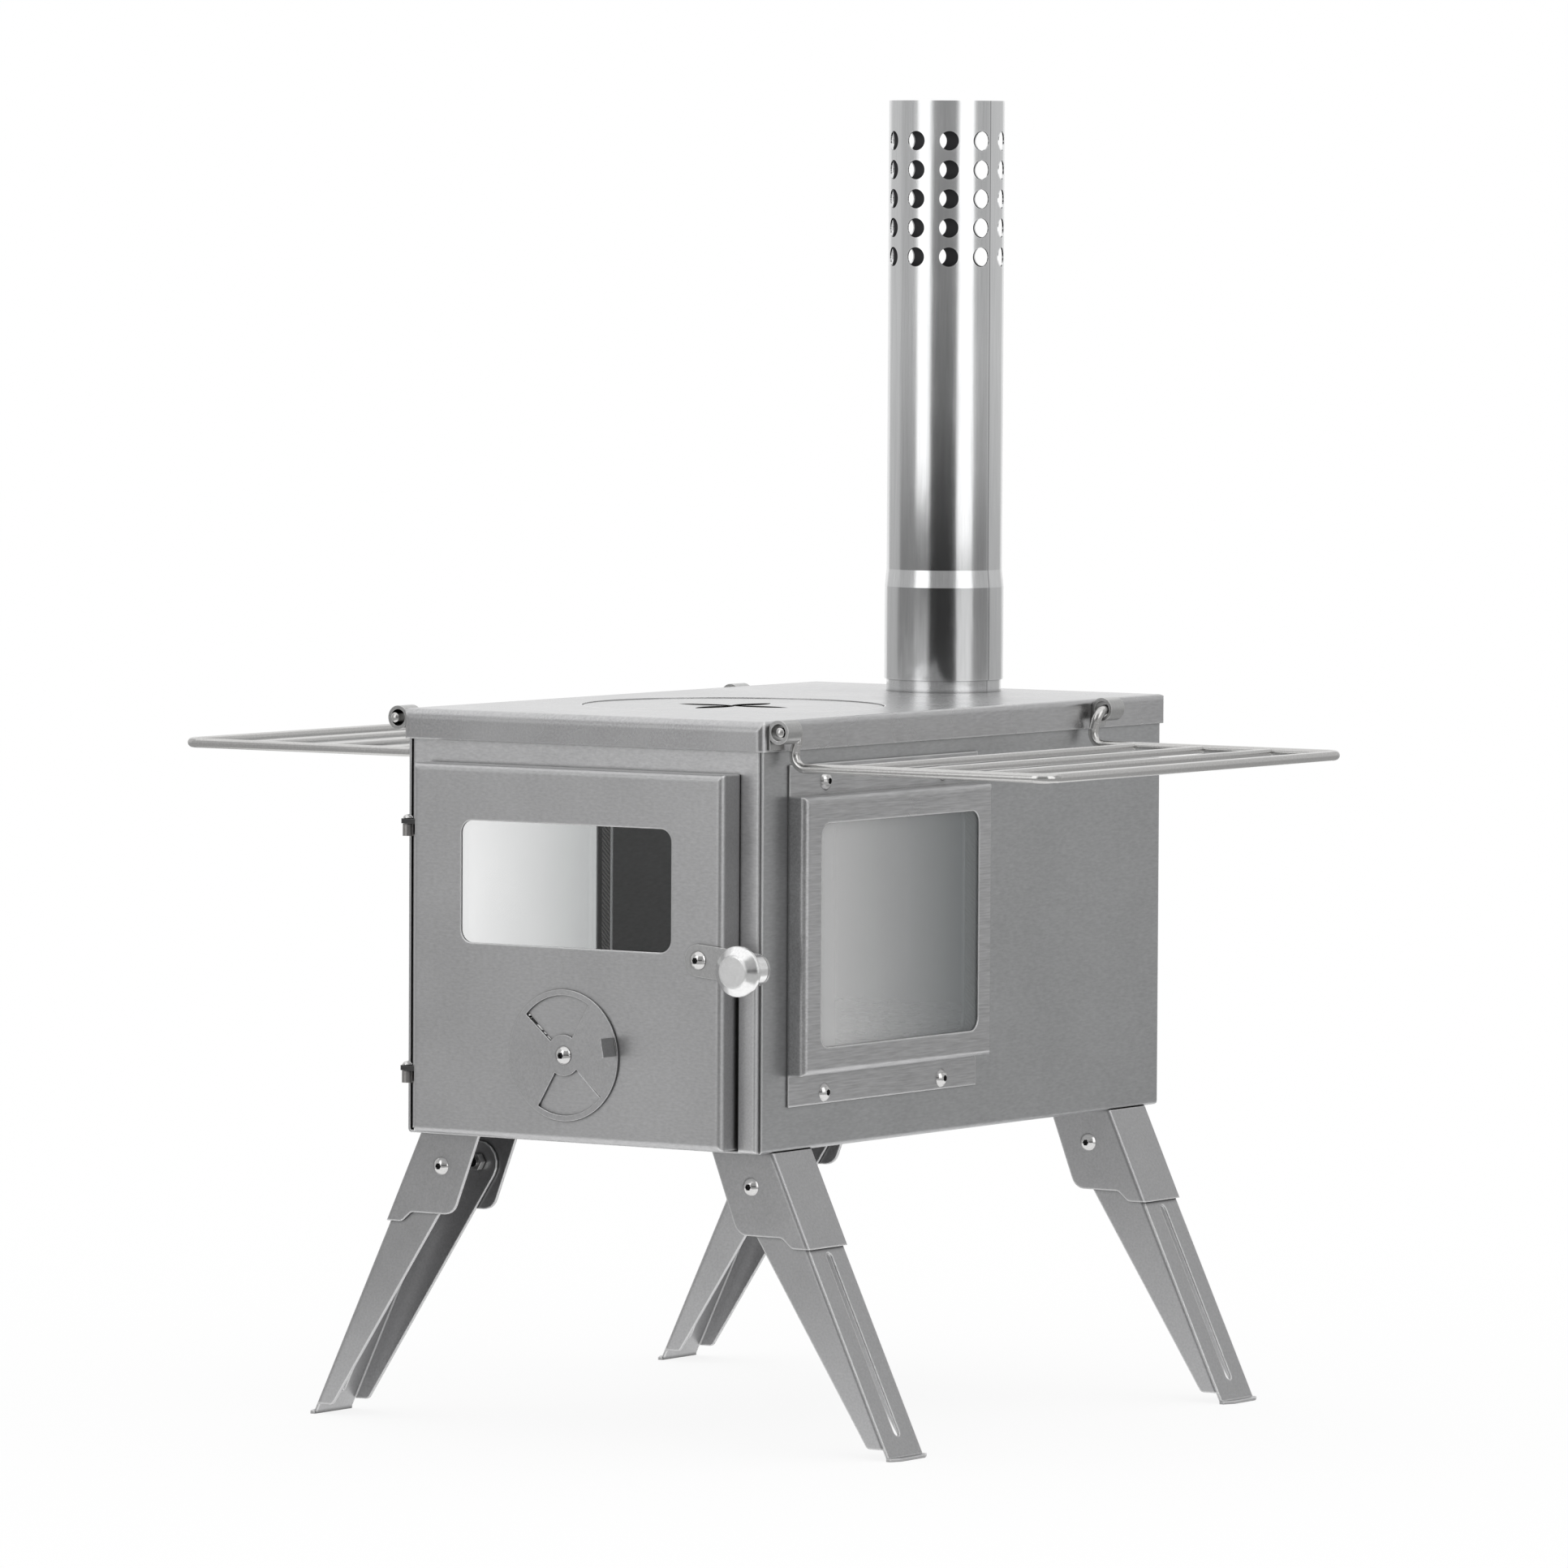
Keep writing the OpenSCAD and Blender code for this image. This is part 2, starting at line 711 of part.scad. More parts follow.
// Door pan with the window, the air windows and the screw holes
module door_pan() {
    color("silver") at_body() difference() {
        translate([-door_w / 2, door_front, door_rise])
            pan(door_w, door_h, door_d - door_gap, door_fold_r, door_sheet);
        translate([-pane_w / 2, door_front - over, door_rise + pane_rise])
            plate_y(door_d / 2) round_rect(pane_w, pane_h, pane_corner_r);
        translate([0, door_front - over, damper_z]) plate_y(door_d / 2) {
            for (a = [vent_start, vent_start + 180]) vent_sector(a, 0);
            circle(m5_hole_r);
        }
        translate([latch_x, door_front - over, latch_z]) plate_y(door_d / 2) circle(m5_hole_r);
    }
}

// Glass of the door window
module door_glass() {
    lap = door_glass_lap;
    color("lightblue", 0.3) at_body()
        translate([-pane_w / 2 - lap, door_front + door_sheet, door_rise + pane_rise - lap])
            plate_y(door_glass_t) round_rect(pane_w + 2 * lap, pane_h + 2 * lap, glass_corner_r);
}

// Stud places around the door window
function stud_points() =
    let (dx = pane_w / 2 - stud_in, dz = pane_h / 2 + door_glass_lap + m4_nut_r + retainer_margin)
    [for (x = [-dx, dx], z = [-dz, dz]) [x, door_rise + pane_rise + pane_h / 2 + z]];

// Retaining frame that presses the glass against the door
module glass_retainer() {
    side_w = door_glass_lap + 2 * m4_nut_r + 2 * retainer_margin;
    lap = door_glass_lap;
    back = door_front + door_sheet + door_glass_t;
    color("gray") at_body() translate([0, back, 0]) plate_y(retainer_t) difference() {
        translate([-pane_w / 2 - lap, door_rise + pane_rise - side_w])
            round_rect(pane_w + 2 * lap, pane_h + 2 * side_w, lap / 2);
        translate([-pane_w / 2 - retainer_clear, door_rise + pane_rise - retainer_clear])
            round_rect(pane_w + 2 * retainer_clear, pane_h + 2 * retainer_clear, pane_corner_r);
        for (p = stud_points()) translate(p) circle(m4_hole_r);
    }
}

// Studs welded to the back of the door for the retaining frame
module retainer_studs() {
    color("gray") at_body() for (p = stud_points())
        translate([p.x, door_front + door_sheet, p.y]) rotate([-90, 0, 0])
            cylinder(r = m4_r, h = stud_l);
}

// Nuts on the retaining studs
module retainer_nuts() {
    back = door_front + door_sheet + door_glass_t + retainer_t;
    color("gray") at_body() for (p = stud_points())
        translate([p.x, back, p.y]) rotate([-90, 0, 0]) hex_nut(m4_nut_r, m4_nut_h, m4_hole_r);
}

// Turning damper disc with two air windows and a bent ear
module damper_disc() {
    front = door_front - damper_gap - damper_t;
    color("silver") at_body() translate([0, front, damper_z]) {
        plate_y(damper_t) difference() {
            circle(damper_r);
            for (a = [disc_start, disc_start + 180]) vent_sector(a, slip);
            circle(disc_bore_r);
        }
        rotate([0, -ear_angle, 0]) translate([damper_r - ear_in, -ear_out, -ear_w / 2])
            cube([damper_t, ear_out + damper_t / 2, ear_w]);
    }
}

// Screw that the damper turns on
module damper_screw() {
    seat = door_front - damper_gap - damper_t - damper_gap;
    color("gainsboro") at_body() translate([0, seat, damper_z]) rotate([90, 0, 0])
        button_screw(-seat + door_front + door_sheet + m5_nut_h + thread_end);
}

// Nut of the damper screw behind the door
module damper_nut() {
    color("gray") at_body() translate([0, door_front + door_sheet, damper_z]) rotate([-90, 0, 0])
        hex_nut(m5_nut_r, m5_nut_h, m5_hole_r);
}

// Latch lever: flat bar with round ends, hanging a little below level
module latch_lever() {
    color("silver") at_body() translate([latch_x, latch_front, latch_z])
        rotate([0, latch_droop, 0]) plate_y(latch_t) difference() {
            translate([-latch_w / 2, -latch_w / 2])
                round_rect(latch_reach + latch_w, latch_w, latch_w * slot_end_share);
            circle(m5_r + pivot_gap);
            translate([latch_reach, 0]) circle(m5_hole_r);
        }
}

// Mushroom knob screwed through the lever's free end
module latch_knob() {
    head_r = knob_d / 2;
    color("gainsboro") at_body() translate([latch_x, latch_front, latch_z])
        rotate([0, latch_droop, 0]) translate([latch_reach, 0, 0]) rotate([90, 0, 0])
            rotate_extrude() polygon([[0, -latch_t], [m5_r, -latch_t], [m5_r, 0],
                [knob_neck_r, 0], [knob_neck_r, knob_l - knob_head_l],
                [head_r - knob_edge, knob_l - knob_head_l],
                [head_r, knob_l - knob_head_l + knob_edge], [head_r, knob_l - 2 * knob_chamfer],
                [knob_face_r, knob_l - knob_edge / 2],
                [knob_face_r, knob_l], [0, knob_l]]);
}

// Screw that the latch turns on
module latch_screw() {
    seat = latch_front - seam;
    color("gainsboro") at_body() translate([latch_x, seat, latch_z]) rotate([90, 0, 0])
        button_screw(-seat + door_front + door_sheet + m5_nut_h + thread_end);
}

// Nut of the latch screw behind the door
module latch_nut() {
    color("gray") at_body() translate([latch_x, door_front + door_sheet, latch_z])
        rotate([-90, 0, 0]) hex_nut(m5_nut_r, m5_nut_h, m5_hole_r);
}

// Keeper: formed strip on the front panel whose upper end is a hook for the lever
module latch_keeper() {
    shelf = latch_z - latch_w / 2 / cos(latch_droop) - hook_gap
        - tan(latch_droop) * (strip_x + hook_w - latch_x);
    lip_y = latch_front - touch_gap - hook_t;
    color("silver") at_body() {
        translate([strip_x, -strip_out, strip_low])
            pan(strip_w, strip_high - strip_low, strip_out, strip_fold_r, sheet);
        translate([strip_x + (strip_w - hook_w) / 2, 0, 0]) {
            translate([0, lip_y, shelf - hook_t]) cube([hook_w, -lip_y - hook_t / 2, hook_t]);
            translate([0, lip_y, shelf - hook_t]) cube([hook_w, hook_t, hook_t + hook_lip]);
            translate([0, -hook_t, strip_high - hook_lip])
                cube([hook_w, hook_t, shelf - strip_high + 2 * hook_lip]);
        }
    }
}

// Fixed hinge lugs: barrels with a leaf welded to the front panel
module hinge_lugs_body() {
    color("dimgray") at_body() for (z = hinge_levels) translate([hinge_x, hinge_y, z]) difference() {
        union() {
            cylinder(r = hinge_r, h = hinge_barrel_l);
            translate([-hinge_r, 0, 0]) cube([hinge_leaf_t, -hinge_y, hinge_barrel_l]);
            translate([-hinge_r, -hinge_y - hinge_leaf_t, 0])
                cube([hinge_lap, hinge_leaf_t, hinge_barrel_l]);
        }
        translate([0, 0, -over]) cylinder(r = hinge_pin_r, h = hinge_barrel_l + 2 * over);
    }
}

// Door hinge lugs: ears welded to the door's side, above the fixed barrels
module hinge_lugs_door() {
    edge = -door_w / 2 - hinge_x;
    color("dimgray") at_body() for (z = hinge_levels)
        translate([hinge_x, hinge_y, z + hinge_barrel_l + slip]) difference() {
            union() {
                cylinder(r = hinge_lug_r, h = hinge_lug_t);
                translate([0, -hinge_lug_r, 0]) cube([edge, hinge_lug_r, hinge_lug_t]);
            }
            translate([0, 0, -over])
                cylinder(r = hinge_pin_r + pivot_gap, h = hinge_lug_t + 2 * over);
        }
}

// Hinge pins with domed heads
module hinge_pins() {
    top = hinge_barrel_l + hinge_lug_t + 2 * slip;
    color("gainsboro") at_body() for (z = hinge_levels) translate([hinge_x, hinge_y, z]) {
        cylinder(r = hinge_pin_r, h = top + hinge_head_h / 2);
        intersection() {
            translate([0, 0, top + hinge_head_h - hinge_r]) sphere(hinge_r);
            translate([0, 0, top]) cylinder(r = hinge_r, h = hinge_head_h);
        }
    }
}

// U-shaped channel section w wide, its bent web at x = 0 and its cheeks running to negative x
module channel_section(w, t, r) {
    difference() {
        translate([0, w]) rotate(-90) mirror([0, 1]) bent_rect_back(w, r);
        translate([-t, w - t]) rotate(-90) mirror([0, 1]) bent_rect_back(w - 2 * t, r - t);
    }
}

// Rectangle w wide running far back from two bent corners at y = 0
module bent_rect_back(w, r) {
    bent_rect(w, 3 * bracket_top_w, r);
}

// Sheet channel cut to an outline in X and Z: web at distance off from the outline's origin
module folded_channel(outline, w, t, r, lean, off) {
    intersection() {
        plate_y(w) polygon(outline);
        rotate([0, -lean, 0]) translate([off, 0, -far]) linear_extrude(2 * far)
            channel_section(w, t, r);
    }
}

// Leg bracket: folded channel with stepped cheeks and a flange under the firebox
module leg_bracket() {
    inner = bracket_inner_drop;
    outline = rounded([[-bracket_top_w, 0],
        [-bracket_top_w + inner * tan(bracket_inner_lean), -inner],
        [bracket_step.x, -inner], [bracket_step.y, -bracket_drop],
        [bracket_drop * tan(bracket_lean), -bracket_drop], [0, 0]], 
        [0, bracket_heel_r, bracket_step_r, bracket_step_r, 0, 0]);
    at_body() translate([body_w / 2, 0, 0]) difference() {
        union() {
            folded_channel(outline, bracket_w, leg_sheet, bracket_fold_r, bracket_lean, 0);
            translate([-bracket_top_w + leg_sheet, leg_sheet / 2, -leg_sheet])
                cube([bracket_top_w - 2 * leg_sheet, bracket_w - leg_sheet, leg_sheet]);
        }
        translate([-pivot_in, -over, -pivot_drop]) rotate([-90, 0, 0])
            cylinder(r = m5_hole_r, h = bracket_w + 2 * over);
    }
}
module leg_brackets() {
    color("silver") for (side = [-1, 1], y = bracket_places) on_side(side)
        translate([0, y, 0]) leg_bracket();
}

// Folding leg: tapered channel with a long slot and a foot bent outwards
module leg() {
    foot = leg_h - pivot_drop;
    cheek = foot - cheek_clear;
    inner_x = function(z) -(heel_r + z * sin(leg_taper_lean)) / cos(leg_taper_lean);
    web_x = function(z) (web_off - z * sin(leg_lean)) / cos(leg_lean);
    cheeks = rounded([[inner_x(heel_top), heel_top], [inner_x(-cheek), -cheek],
        [web_x(-cheek), -cheek], [web_x(heel_top), heel_top]], [heel_round_r, toe_r, 0, 0]);
    web = [[web_x(heel_top) - 2 * leg_sheet, heel_top], [web_x(-foot) - 2 * leg_sheet, -foot],
        [web_x(-foot), -foot], [web_x(heel_top), heel_top]];
    slot_from = (slot_top - pivot_drop) / cos(leg_lean) + web_off * tan(leg_lean);
    slot_to = (foot - slot_end) / cos(leg_lean) + web_off * tan(leg_lean);
    lip_end = web_x(-foot) + foot_lip;
    y0 = leg_sheet + slip;
    at_body() translate([pivot_x, y0, -pivot_drop]) difference() {
        union() {
            folded_channel(cheeks, leg_w, leg_sheet, leg_fold_r, leg_lean, web_off);
            intersection() {
                plate_y(leg_w) polygon(web);
                rotate([0, -leg_lean, 0]) translate([web_off - leg_sheet, 0, -far])
                    cube([leg_sheet, leg_w, 2 * far]);
                translate([0, leg_fold_r / 2, -far]) cube([far, leg_w - leg_fold_r, 2 * far]);
            }
            translate([0, 0, -foot]) linear_extrude(leg_sheet)
                polygon([[web_x(-foot) - leg_sheet, 0], [web_x(-foot) + foot_lip - foot_chamfer / 2, 0],
                    [lip_end, foot_chamfer], [lip_end, leg_w - foot_chamfer],
                    [web_x(-foot) + foot_lip - foot_chamfer / 2, leg_w],
                    [web_x(-foot) - leg_sheet, leg_w]]);
        }
        rotate([0, -leg_lean, 0]) translate([web_off - 2 * leg_sheet, leg_w / 2, -slot_to])
            plate_x(3 * leg_sheet) translate([-leg_slot_w / 2, 0])
                round_rect(leg_slot_w, slot_to - slot_from, leg_slot_w * slot_end_share);
        rotate([-90, 0, 0]) translate([0, 0, -over])
            cylinder(r = m5_r + pivot_gap, h = leg_w + 2 * over);
    }
}
module leg_at(side, y) {
    color("silver") on_side(side) translate([0, y, 0]) leg();
}
module leg_front_right() { leg_at(1, bracket_places[0]); }
module leg_front_left() { leg_at(-1, bracket_places[0]); }
module leg_rear_right() { leg_at(1, bracket_places[1]); }
module leg_rear_left() { leg_at(-1, bracket_places[1]); }

// Runs its children at every leg pivot, pointing out of the bracket's two cheeks
module at_leg_pivots() {
    at_body() for (side = [-1, 1], y = bracket_places, face = [0, 1]) on_side(side)
        translate([pivot_x, y + face * bracket_w, -pivot_drop]) rotate([face ? -90 : 90, 0, 0])
            children();
}

// Two short pivot screws for each leg
module leg_screws() {
    grip = 2 * leg_sheet + 2 * slip;
    color("gainsboro") at_leg_pivots() button_screw(grip + m5_nut_h + thread_end);
}

// Nuts of the pivot screws inside the legs
module leg_nuts() {
    grip = 2 * leg_sheet + 2 * slip;
    color("gray") at_leg_pivots() translate([0, 0, -grip - m5_nut_h])
        hex_nut(m5_nut_r, m5_nut_h, m5_hole_r);
}

// Rolled barrels on the lid's side lip, each with the tail of sheet that it is rolled from
module shelf_barrels(side) {
    color("silver") at_body() on_side(side) for (y = [barrel_front, rear_barrel])
        translate([0, y, 0]) difference() {
            union() {
                translate([barrel_x, 0, barrel_z]) rotate([-90, 0, 0])
                    cylinder(r = barrel_r, h = barrel_l);
                translate([lid_w / 2, 0, lid_top - lid_lip + tail_up])
                    cube([sheet, barrel_l, barrel_z - lid_top + lid_lip - tail_up]);
            }
            translate([barrel_x, -over, barrel_z]) rotate([-90, 0, 0])
                cylinder(r = barrel_bore_r, h = barrel_l + 2 * over);
        }
}
module shelf_barrels_right() { shelf_barrels(1); }
module shelf_barrels_left() { shelf_barrels(-1); }

// Straight length of wire from a to b
module wire(a, b, r) {
    d = b - a;
    translate(a) rotate([0, acos(d.z / norm(d)), atan2(d.y, d.x)]) cylinder(r = r, h = norm(d));
}

// Distance from a corner to where a bend of the given radius starts
function bend_cut(u, v, bend) = bend * tan(acos(u * v) / 2);

// Bend of wire at corner p: it comes along unit u and leaves along unit v
module wire_elbow(p, u, v, bend, r) {
    n = unit(v - (u * v) * u);
    c = p - u * bend_cut(u, v, bend) + n * bend;
    w = cross(u, n);
    m = [[-n.x, u.x, w.x, c.x], [-n.y, u.y, w.y, c.y], [-n.z, u.z, w.z, c.z]];
    multmatrix(m) rotate_extrude(angle = acos(u * v)) translate([bend, 0]) circle(r);
}

// Welded wire shelf: one bent frame wire whose domed ends turn in the barrels, and three bars
module shelf(side) {
    low = barrel_z - shelf_drop;
    dome_r = (wire_r * wire_r + wire_dome * wire_dome) / (2 * wire_dome);
    pts = [[hang_x, barrel_front - wire_out, barrel_z], [hang_x, shelf_front, barrel_z],
        [crank_x, shelf_front, low], [shelf_reach, shelf_front, low],
        [shelf_reach, shelf_rear, low], [crank_x, shelf_rear, low],
        [hang_x, shelf_rear, barrel_z],
        [hang_x, rear_barrel + barrel_l + wire_out, barrel_z]];
    bends = [0, wire_bend, wire_bend, corner_bend, corner_bend, wire_bend, wire_bend, 0];
    last = len(pts) - 1;
    way = [for (i = [0 : last - 1]) unit(pts[i + 1] - pts[i])];
    cut = [for (i = [0 : last])
        bends[i] == 0 ? 0 : bend_cut(way[i - 1], way[i], bends[i]) - bend_lap];
    color("whitesmoke") at_body() on_side(side) {
        for (i = [0 : last - 1])
            wire(pts[i] + way[i] * cut[i], pts[i + 1] - way[i] * cut[i + 1], wire_r);
        for (i = [1 : last - 1])
            wire_elbow(pts[i], way[i - 1], way[i], bends[i], wire_r + bend_swell);
        for (n = [1 : bar_count])
            wire([shelf_reach - n * bar_pitch, shelf_front, low],
                [shelf_reach - n * bar_pitch, shelf_rear, low], bar_d / 2);
        for (i = [0, last]) translate(pts[i]) rotate([i == 0 ? 90 : -90, 0, 0]) intersection() {
            translate([0, 0, wire_dome - dome_r]) sphere(dome_r);
            cylinder(r = wire_r, h = wire_dome);
        }
    }
}
module shelf_right() { shelf(1); }
module shelf_left() { shelf(-1); }

firebox_shell();
front_panel();
rear_panel();
lid();
hob_ring();
hob_plate();
flue_collar();
flue_pipe();
grate();
grate_rails();
window_frame_right();
window_frame_left();
window_glass_right();
window_glass_left();
window_gasket_right();
window_gasket_left();
window_screws_right();
window_screws_left();
window_nuts();
door_pan();
door_glass();
glass_retainer();
retainer_studs();
retainer_nuts();
damper_disc();
damper_screw();
damper_nut();
latch_lever();
latch_knob();
latch_screw();
latch_nut();
latch_keeper();
hinge_lugs_body();
hinge_lugs_door();
hinge_pins();
leg_brackets();
leg_front_right();
leg_front_left();
leg_rear_right();
leg_rear_left();
leg_screws();
leg_nuts();
shelf_barrels_right();
shelf_barrels_left();
shelf_right();
shelf_left();
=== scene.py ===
import math

import bpy
import numpy as np
from mathutils import Matrix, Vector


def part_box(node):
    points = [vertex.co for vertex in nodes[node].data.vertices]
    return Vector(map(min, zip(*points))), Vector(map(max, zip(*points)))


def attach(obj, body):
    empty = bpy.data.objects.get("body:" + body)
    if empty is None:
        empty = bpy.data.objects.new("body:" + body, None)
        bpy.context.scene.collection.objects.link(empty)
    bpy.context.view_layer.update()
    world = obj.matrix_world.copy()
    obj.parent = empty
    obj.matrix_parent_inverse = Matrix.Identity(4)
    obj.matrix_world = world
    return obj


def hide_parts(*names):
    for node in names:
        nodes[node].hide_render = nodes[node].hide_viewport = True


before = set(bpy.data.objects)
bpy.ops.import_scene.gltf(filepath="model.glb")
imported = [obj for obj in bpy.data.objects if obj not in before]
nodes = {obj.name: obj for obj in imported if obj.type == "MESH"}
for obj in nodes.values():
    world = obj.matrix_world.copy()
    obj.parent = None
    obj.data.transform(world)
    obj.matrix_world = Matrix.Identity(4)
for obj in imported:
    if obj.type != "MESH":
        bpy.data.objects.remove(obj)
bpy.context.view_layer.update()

# Firebox shell and end panels

# The firebox is one sheet of satin stainless steel folded into a U, with a front and a rear
# panel pressed with short flanges and spot-welded inside it. The mill finish is a fine dull
# grain with faint clouds, and a painted highlight makes the folds brighter.
wall_tone, wall_rough = (0.50, 0.505, 0.51), 0.34
# The front panel is painted lighter than the wall steel, as painted light on the front.
lightened_face_tone, face_rough = (0.68, 0.68, 0.685), 0.36


def feed(tree, node, values):
    """Sets each value on the node's input of that name, or links it there if it is a socket."""
    for name, value in values.items():
        socket = node.inputs[name.replace("_", " ")]
        if isinstance(value, bpy.types.NodeSocket):
            tree.links.new(value, socket)
        elif socket.type == "RGBA":
            socket.default_value = (*value, 1)
        else:
            socket.default_value = value
    return node


def add(tree, kind, label="", **values):
    """A shader node of that kind, fed with the given values."""
    node = tree.nodes.new("ShaderNode" + kind)
    node.label = label
    return feed(tree, node, values)


def step(tree, kind, operation, *values):
    """A maths node of that kind, whose inputs are sockets, numbers or triples, in their order."""
    node = tree.nodes.new("ShaderNode" + kind)
    node.operation = operation
    places = [node.inputs[0], node.inputs["Scale"]] if operation == "SCALE" else node.inputs
    for place, value in zip(places, values):
        if isinstance(value, bpy.types.NodeSocket):
            tree.links.new(value, place)
        else:
            place.default_value = value
    gives_number = kind == "Math" or operation in ("LENGTH", "DOT_PRODUCT")
    return node.outputs["Value" if gives_number else "Vector"]


def ramp(tree, value, start, full, low=0.0, high=1.0):
    """Spreads a value evenly from low, at start, to high, at full, and holds it beyond them."""
    return add(tree, "MapRange", Value=value, From_Min=start, From_Max=full,
               To_Min=low, To_Max=high).outputs[0]


def spot_on(tree):
    """Where a point lies on its piece."""
    return tree.nodes.new("ShaderNodeTexCoord").outputs["Object"]


def parts_of(tree, vector):
    """The X, Y and Z parts of a vector."""
    parts = tree.nodes.new("ShaderNodeSeparateXYZ")
    tree.links.new(vector, parts.inputs[0])
    return parts.outputs


def effect(name, ins, outs):
    """A new node group with inputs, as (name, kind, default), and outputs, as (name, kind). Hands
    back the group, what its inputs give, and the node that takes its results."""
    group = bpy.data.node_groups.new(name, "ShaderNodeTree")
    for title, kind, value in ins:
        socket = group.interface.new_socket(title, in_out="INPUT", socket_type="NodeSocket" + kind)
        socket.default_value = value
    for title, kind in outs:
        group.interface.new_socket(title, in_out="OUTPUT", socket_type="NodeSocket" + kind)
    given = group.nodes.new("NodeGroupInput").outputs
    return group, given, group.nodes.new("NodeGroupOutput")


def place_effect(tree, group, **values):
    """An effect placed in a material and fed with the given values."""
    node = tree.nodes.new("ShaderNodeGroup")
    node.node_tree = group
    return feed(tree, node, values)


# Mill grain: noise pulled out along the rolling direction, over slow clouds.
cloud_share = 0.35
mill, given, result = effect(
    "mill_grain",
    [("Vector", "Vector", (0, 0, 0)), ("Pull", "Vector", (1, 1, 1)), ("Grain", "Float", 1400),
     ("Clouds", "Float", 26)],
    [("Grain", "Float"), ("Cloud", "Float"), ("Tone", "Float")])
pulled = step(mill, "VectorMath", "MULTIPLY", given["Vector"], given["Pull"])
fine = add(mill, "TexNoise", Vector=pulled, Scale=given["Grain"], Detail=2.0,
           Roughness=0.6).outputs["Fac"]
slow = add(mill, "TexNoise", Vector=given["Vector"], Scale=given["Clouds"], Detail=3.0,
           Roughness=0.55).outputs["Fac"]
both = step(mill, "Math", "MULTIPLY_ADD", slow, cloud_share, fine)
feed(mill, result, {"Grain": fine, "Cloud": slow, "Tone": both})

# Edge rounding and painted highlight: the normal is rounded over the edges, and where it leaves
# the face's own normal the mask paints the steel brighter, as a highlight.
highlight_rounding, given, result = effect("edge_rounding_and_painted_highlight", [("Width", "Float", 0.0006)],
                               [("Mask", "Float"), ("Normal", "Vector")])
round_off = add(highlight_rounding, "Bevel", Radius=given["Width"])
round_off.samples = 4
flat = highlight_rounding.nodes.new("ShaderNodeNewGeometry").outputs["Normal"]
agree = step(highlight_rounding, "VectorMath", "DOT_PRODUCT", round_off.outputs[0], flat)
feed(highlight_rounding, result, {"Mask": ramp(highlight_rounding, agree, 0.995, 0.9), "Normal": round_off.outputs[0]})

# Painted corner shade: how far a spot is shut in by what stands close to it. The steel's colour
# is darkened there, as painted shade.
corner_shade, given, result = effect("painted_corner_shade", [("Reach", "Float", 0.003)], [("Mask", "Float")])
shut_in = add(corner_shade, "AmbientOcclusion", Distance=given["Reach"])
shut_in.samples = 6
feed(corner_shade, result, {"Mask": ramp(corner_shade, shut_in.outputs["AO"], 0.85, 0.35)})

# Facing: how squarely a face looks along an axis, spread from none at Start to all at Full.
facing, given, result = effect(
    "facing",
    [("Normal", "Vector", (0, 0, 1)), ("Axis", "Vector", (0, 0, 1)), ("Start", "Float", 0.0),
     ("Full", "Float", 1.0)],
    [("Mask", "Float")])
squarely = step(facing, "VectorMath", "DOT_PRODUCT", given["Normal"], given["Axis"])
feed(facing, result, {"Mask": ramp(facing, squarely, given["Start"], given["Full"])})


def new_material(name):
    """A new material, its node tree and its shader."""
    mat = bpy.data.materials.new(name)
    mat.use_nodes = True
    return mat, mat.node_tree, mat.node_tree.nodes["Principled BSDF"]


def steel(name, tone, rough, pull=(1, 1, 1), grain=900, clouds=18, bump=0.2, vary=0.11,
          edge=0.0014, shine=2.0, rough_vary=0.03, shade_reach=0.0025):
    """Bare steel. Its grain is stretched by pull and moves the tone by vary, and its clouds move
    the roughness by rough_vary. Edges are rounded over the width edge with a painted highlight
    up to shine times the tone, and corners and gaps get painted shade within the reach that the
    last argument gives."""
    shade_depth = 0.3
    mat, tree, skin = new_material(name)
    finish = place_effect(tree, mill, Vector=spot_on(tree), Pull=pull, Grain=grain,
                          Clouds=clouds).outputs
    rounded_and_highlit = place_effect(tree, highlight_rounding, Width=edge).outputs
    corner_shading = place_effect(tree, corner_shade, Reach=shade_reach).outputs
    shade = ramp(tree, finish["Tone"], 0.4, 0.95, 1 - vary, 1 + vary)
    base = add(tree, "MixRGB", "tone", Fac=1.0, Color1=tone, Color2=shade)
    base.blend_type = "MULTIPLY"
    # Painted highlight: the rounded edges are made brighter, up to shine times the tone.
    bright = add(tree, "MixRGB", "highlight_rounding", Fac=rounded_and_highlit["Mask"], Color1=base.outputs[0],
                 Color2=[min(1, c * shine) for c in tone])
    # Painted shade: corners and gaps are darkened by how shut in they are.
    shaded_corners = add(tree, "MixRGB", "shaded_corners", Fac=corner_shading["Mask"], Color1=bright.outputs[0],
                 Color2=[c * shade_depth for c in tone])
    relief = add(tree, "Bump", Strength=bump, Distance=0.0002, Height=finish["Grain"],
                 Normal=rounded_and_highlit["Normal"])
    feed(tree, skin, {
        "Metallic": 1.0,
        "Base Color": shaded_corners.outputs[0],
        "Roughness": ramp(tree, finish["Cloud"], 0.3, 0.7, rough - rough_vary, rough + rough_vary),
        "Normal": relief.outputs[0]})
    return mat


def skin_of(mat):
    """The inputs of a steel's own shader."""
    return mat.node_tree.nodes["Principled BSDF"].inputs


def lay_over(tree, socket, label, mask, tone):
    """Mixes what already feeds a socket towards a tone, by a mask."""
    mixed = add(tree, "MixRGB", label, Fac=mask, Color1=socket.links[0].from_socket, Color2=tone)
    tree.links.new(mixed.outputs[0], socket)


def faces_along(tree, axis, start, full):
    """The facing effect placed in a material, on the face's own normal."""
    normal = tree.nodes.new("ShaderNodeNewGeometry").outputs["Normal"]
    return place_effect(tree, facing, Normal=normal, Axis=axis, Start=start,
                        Full=full).outputs["Mask"]


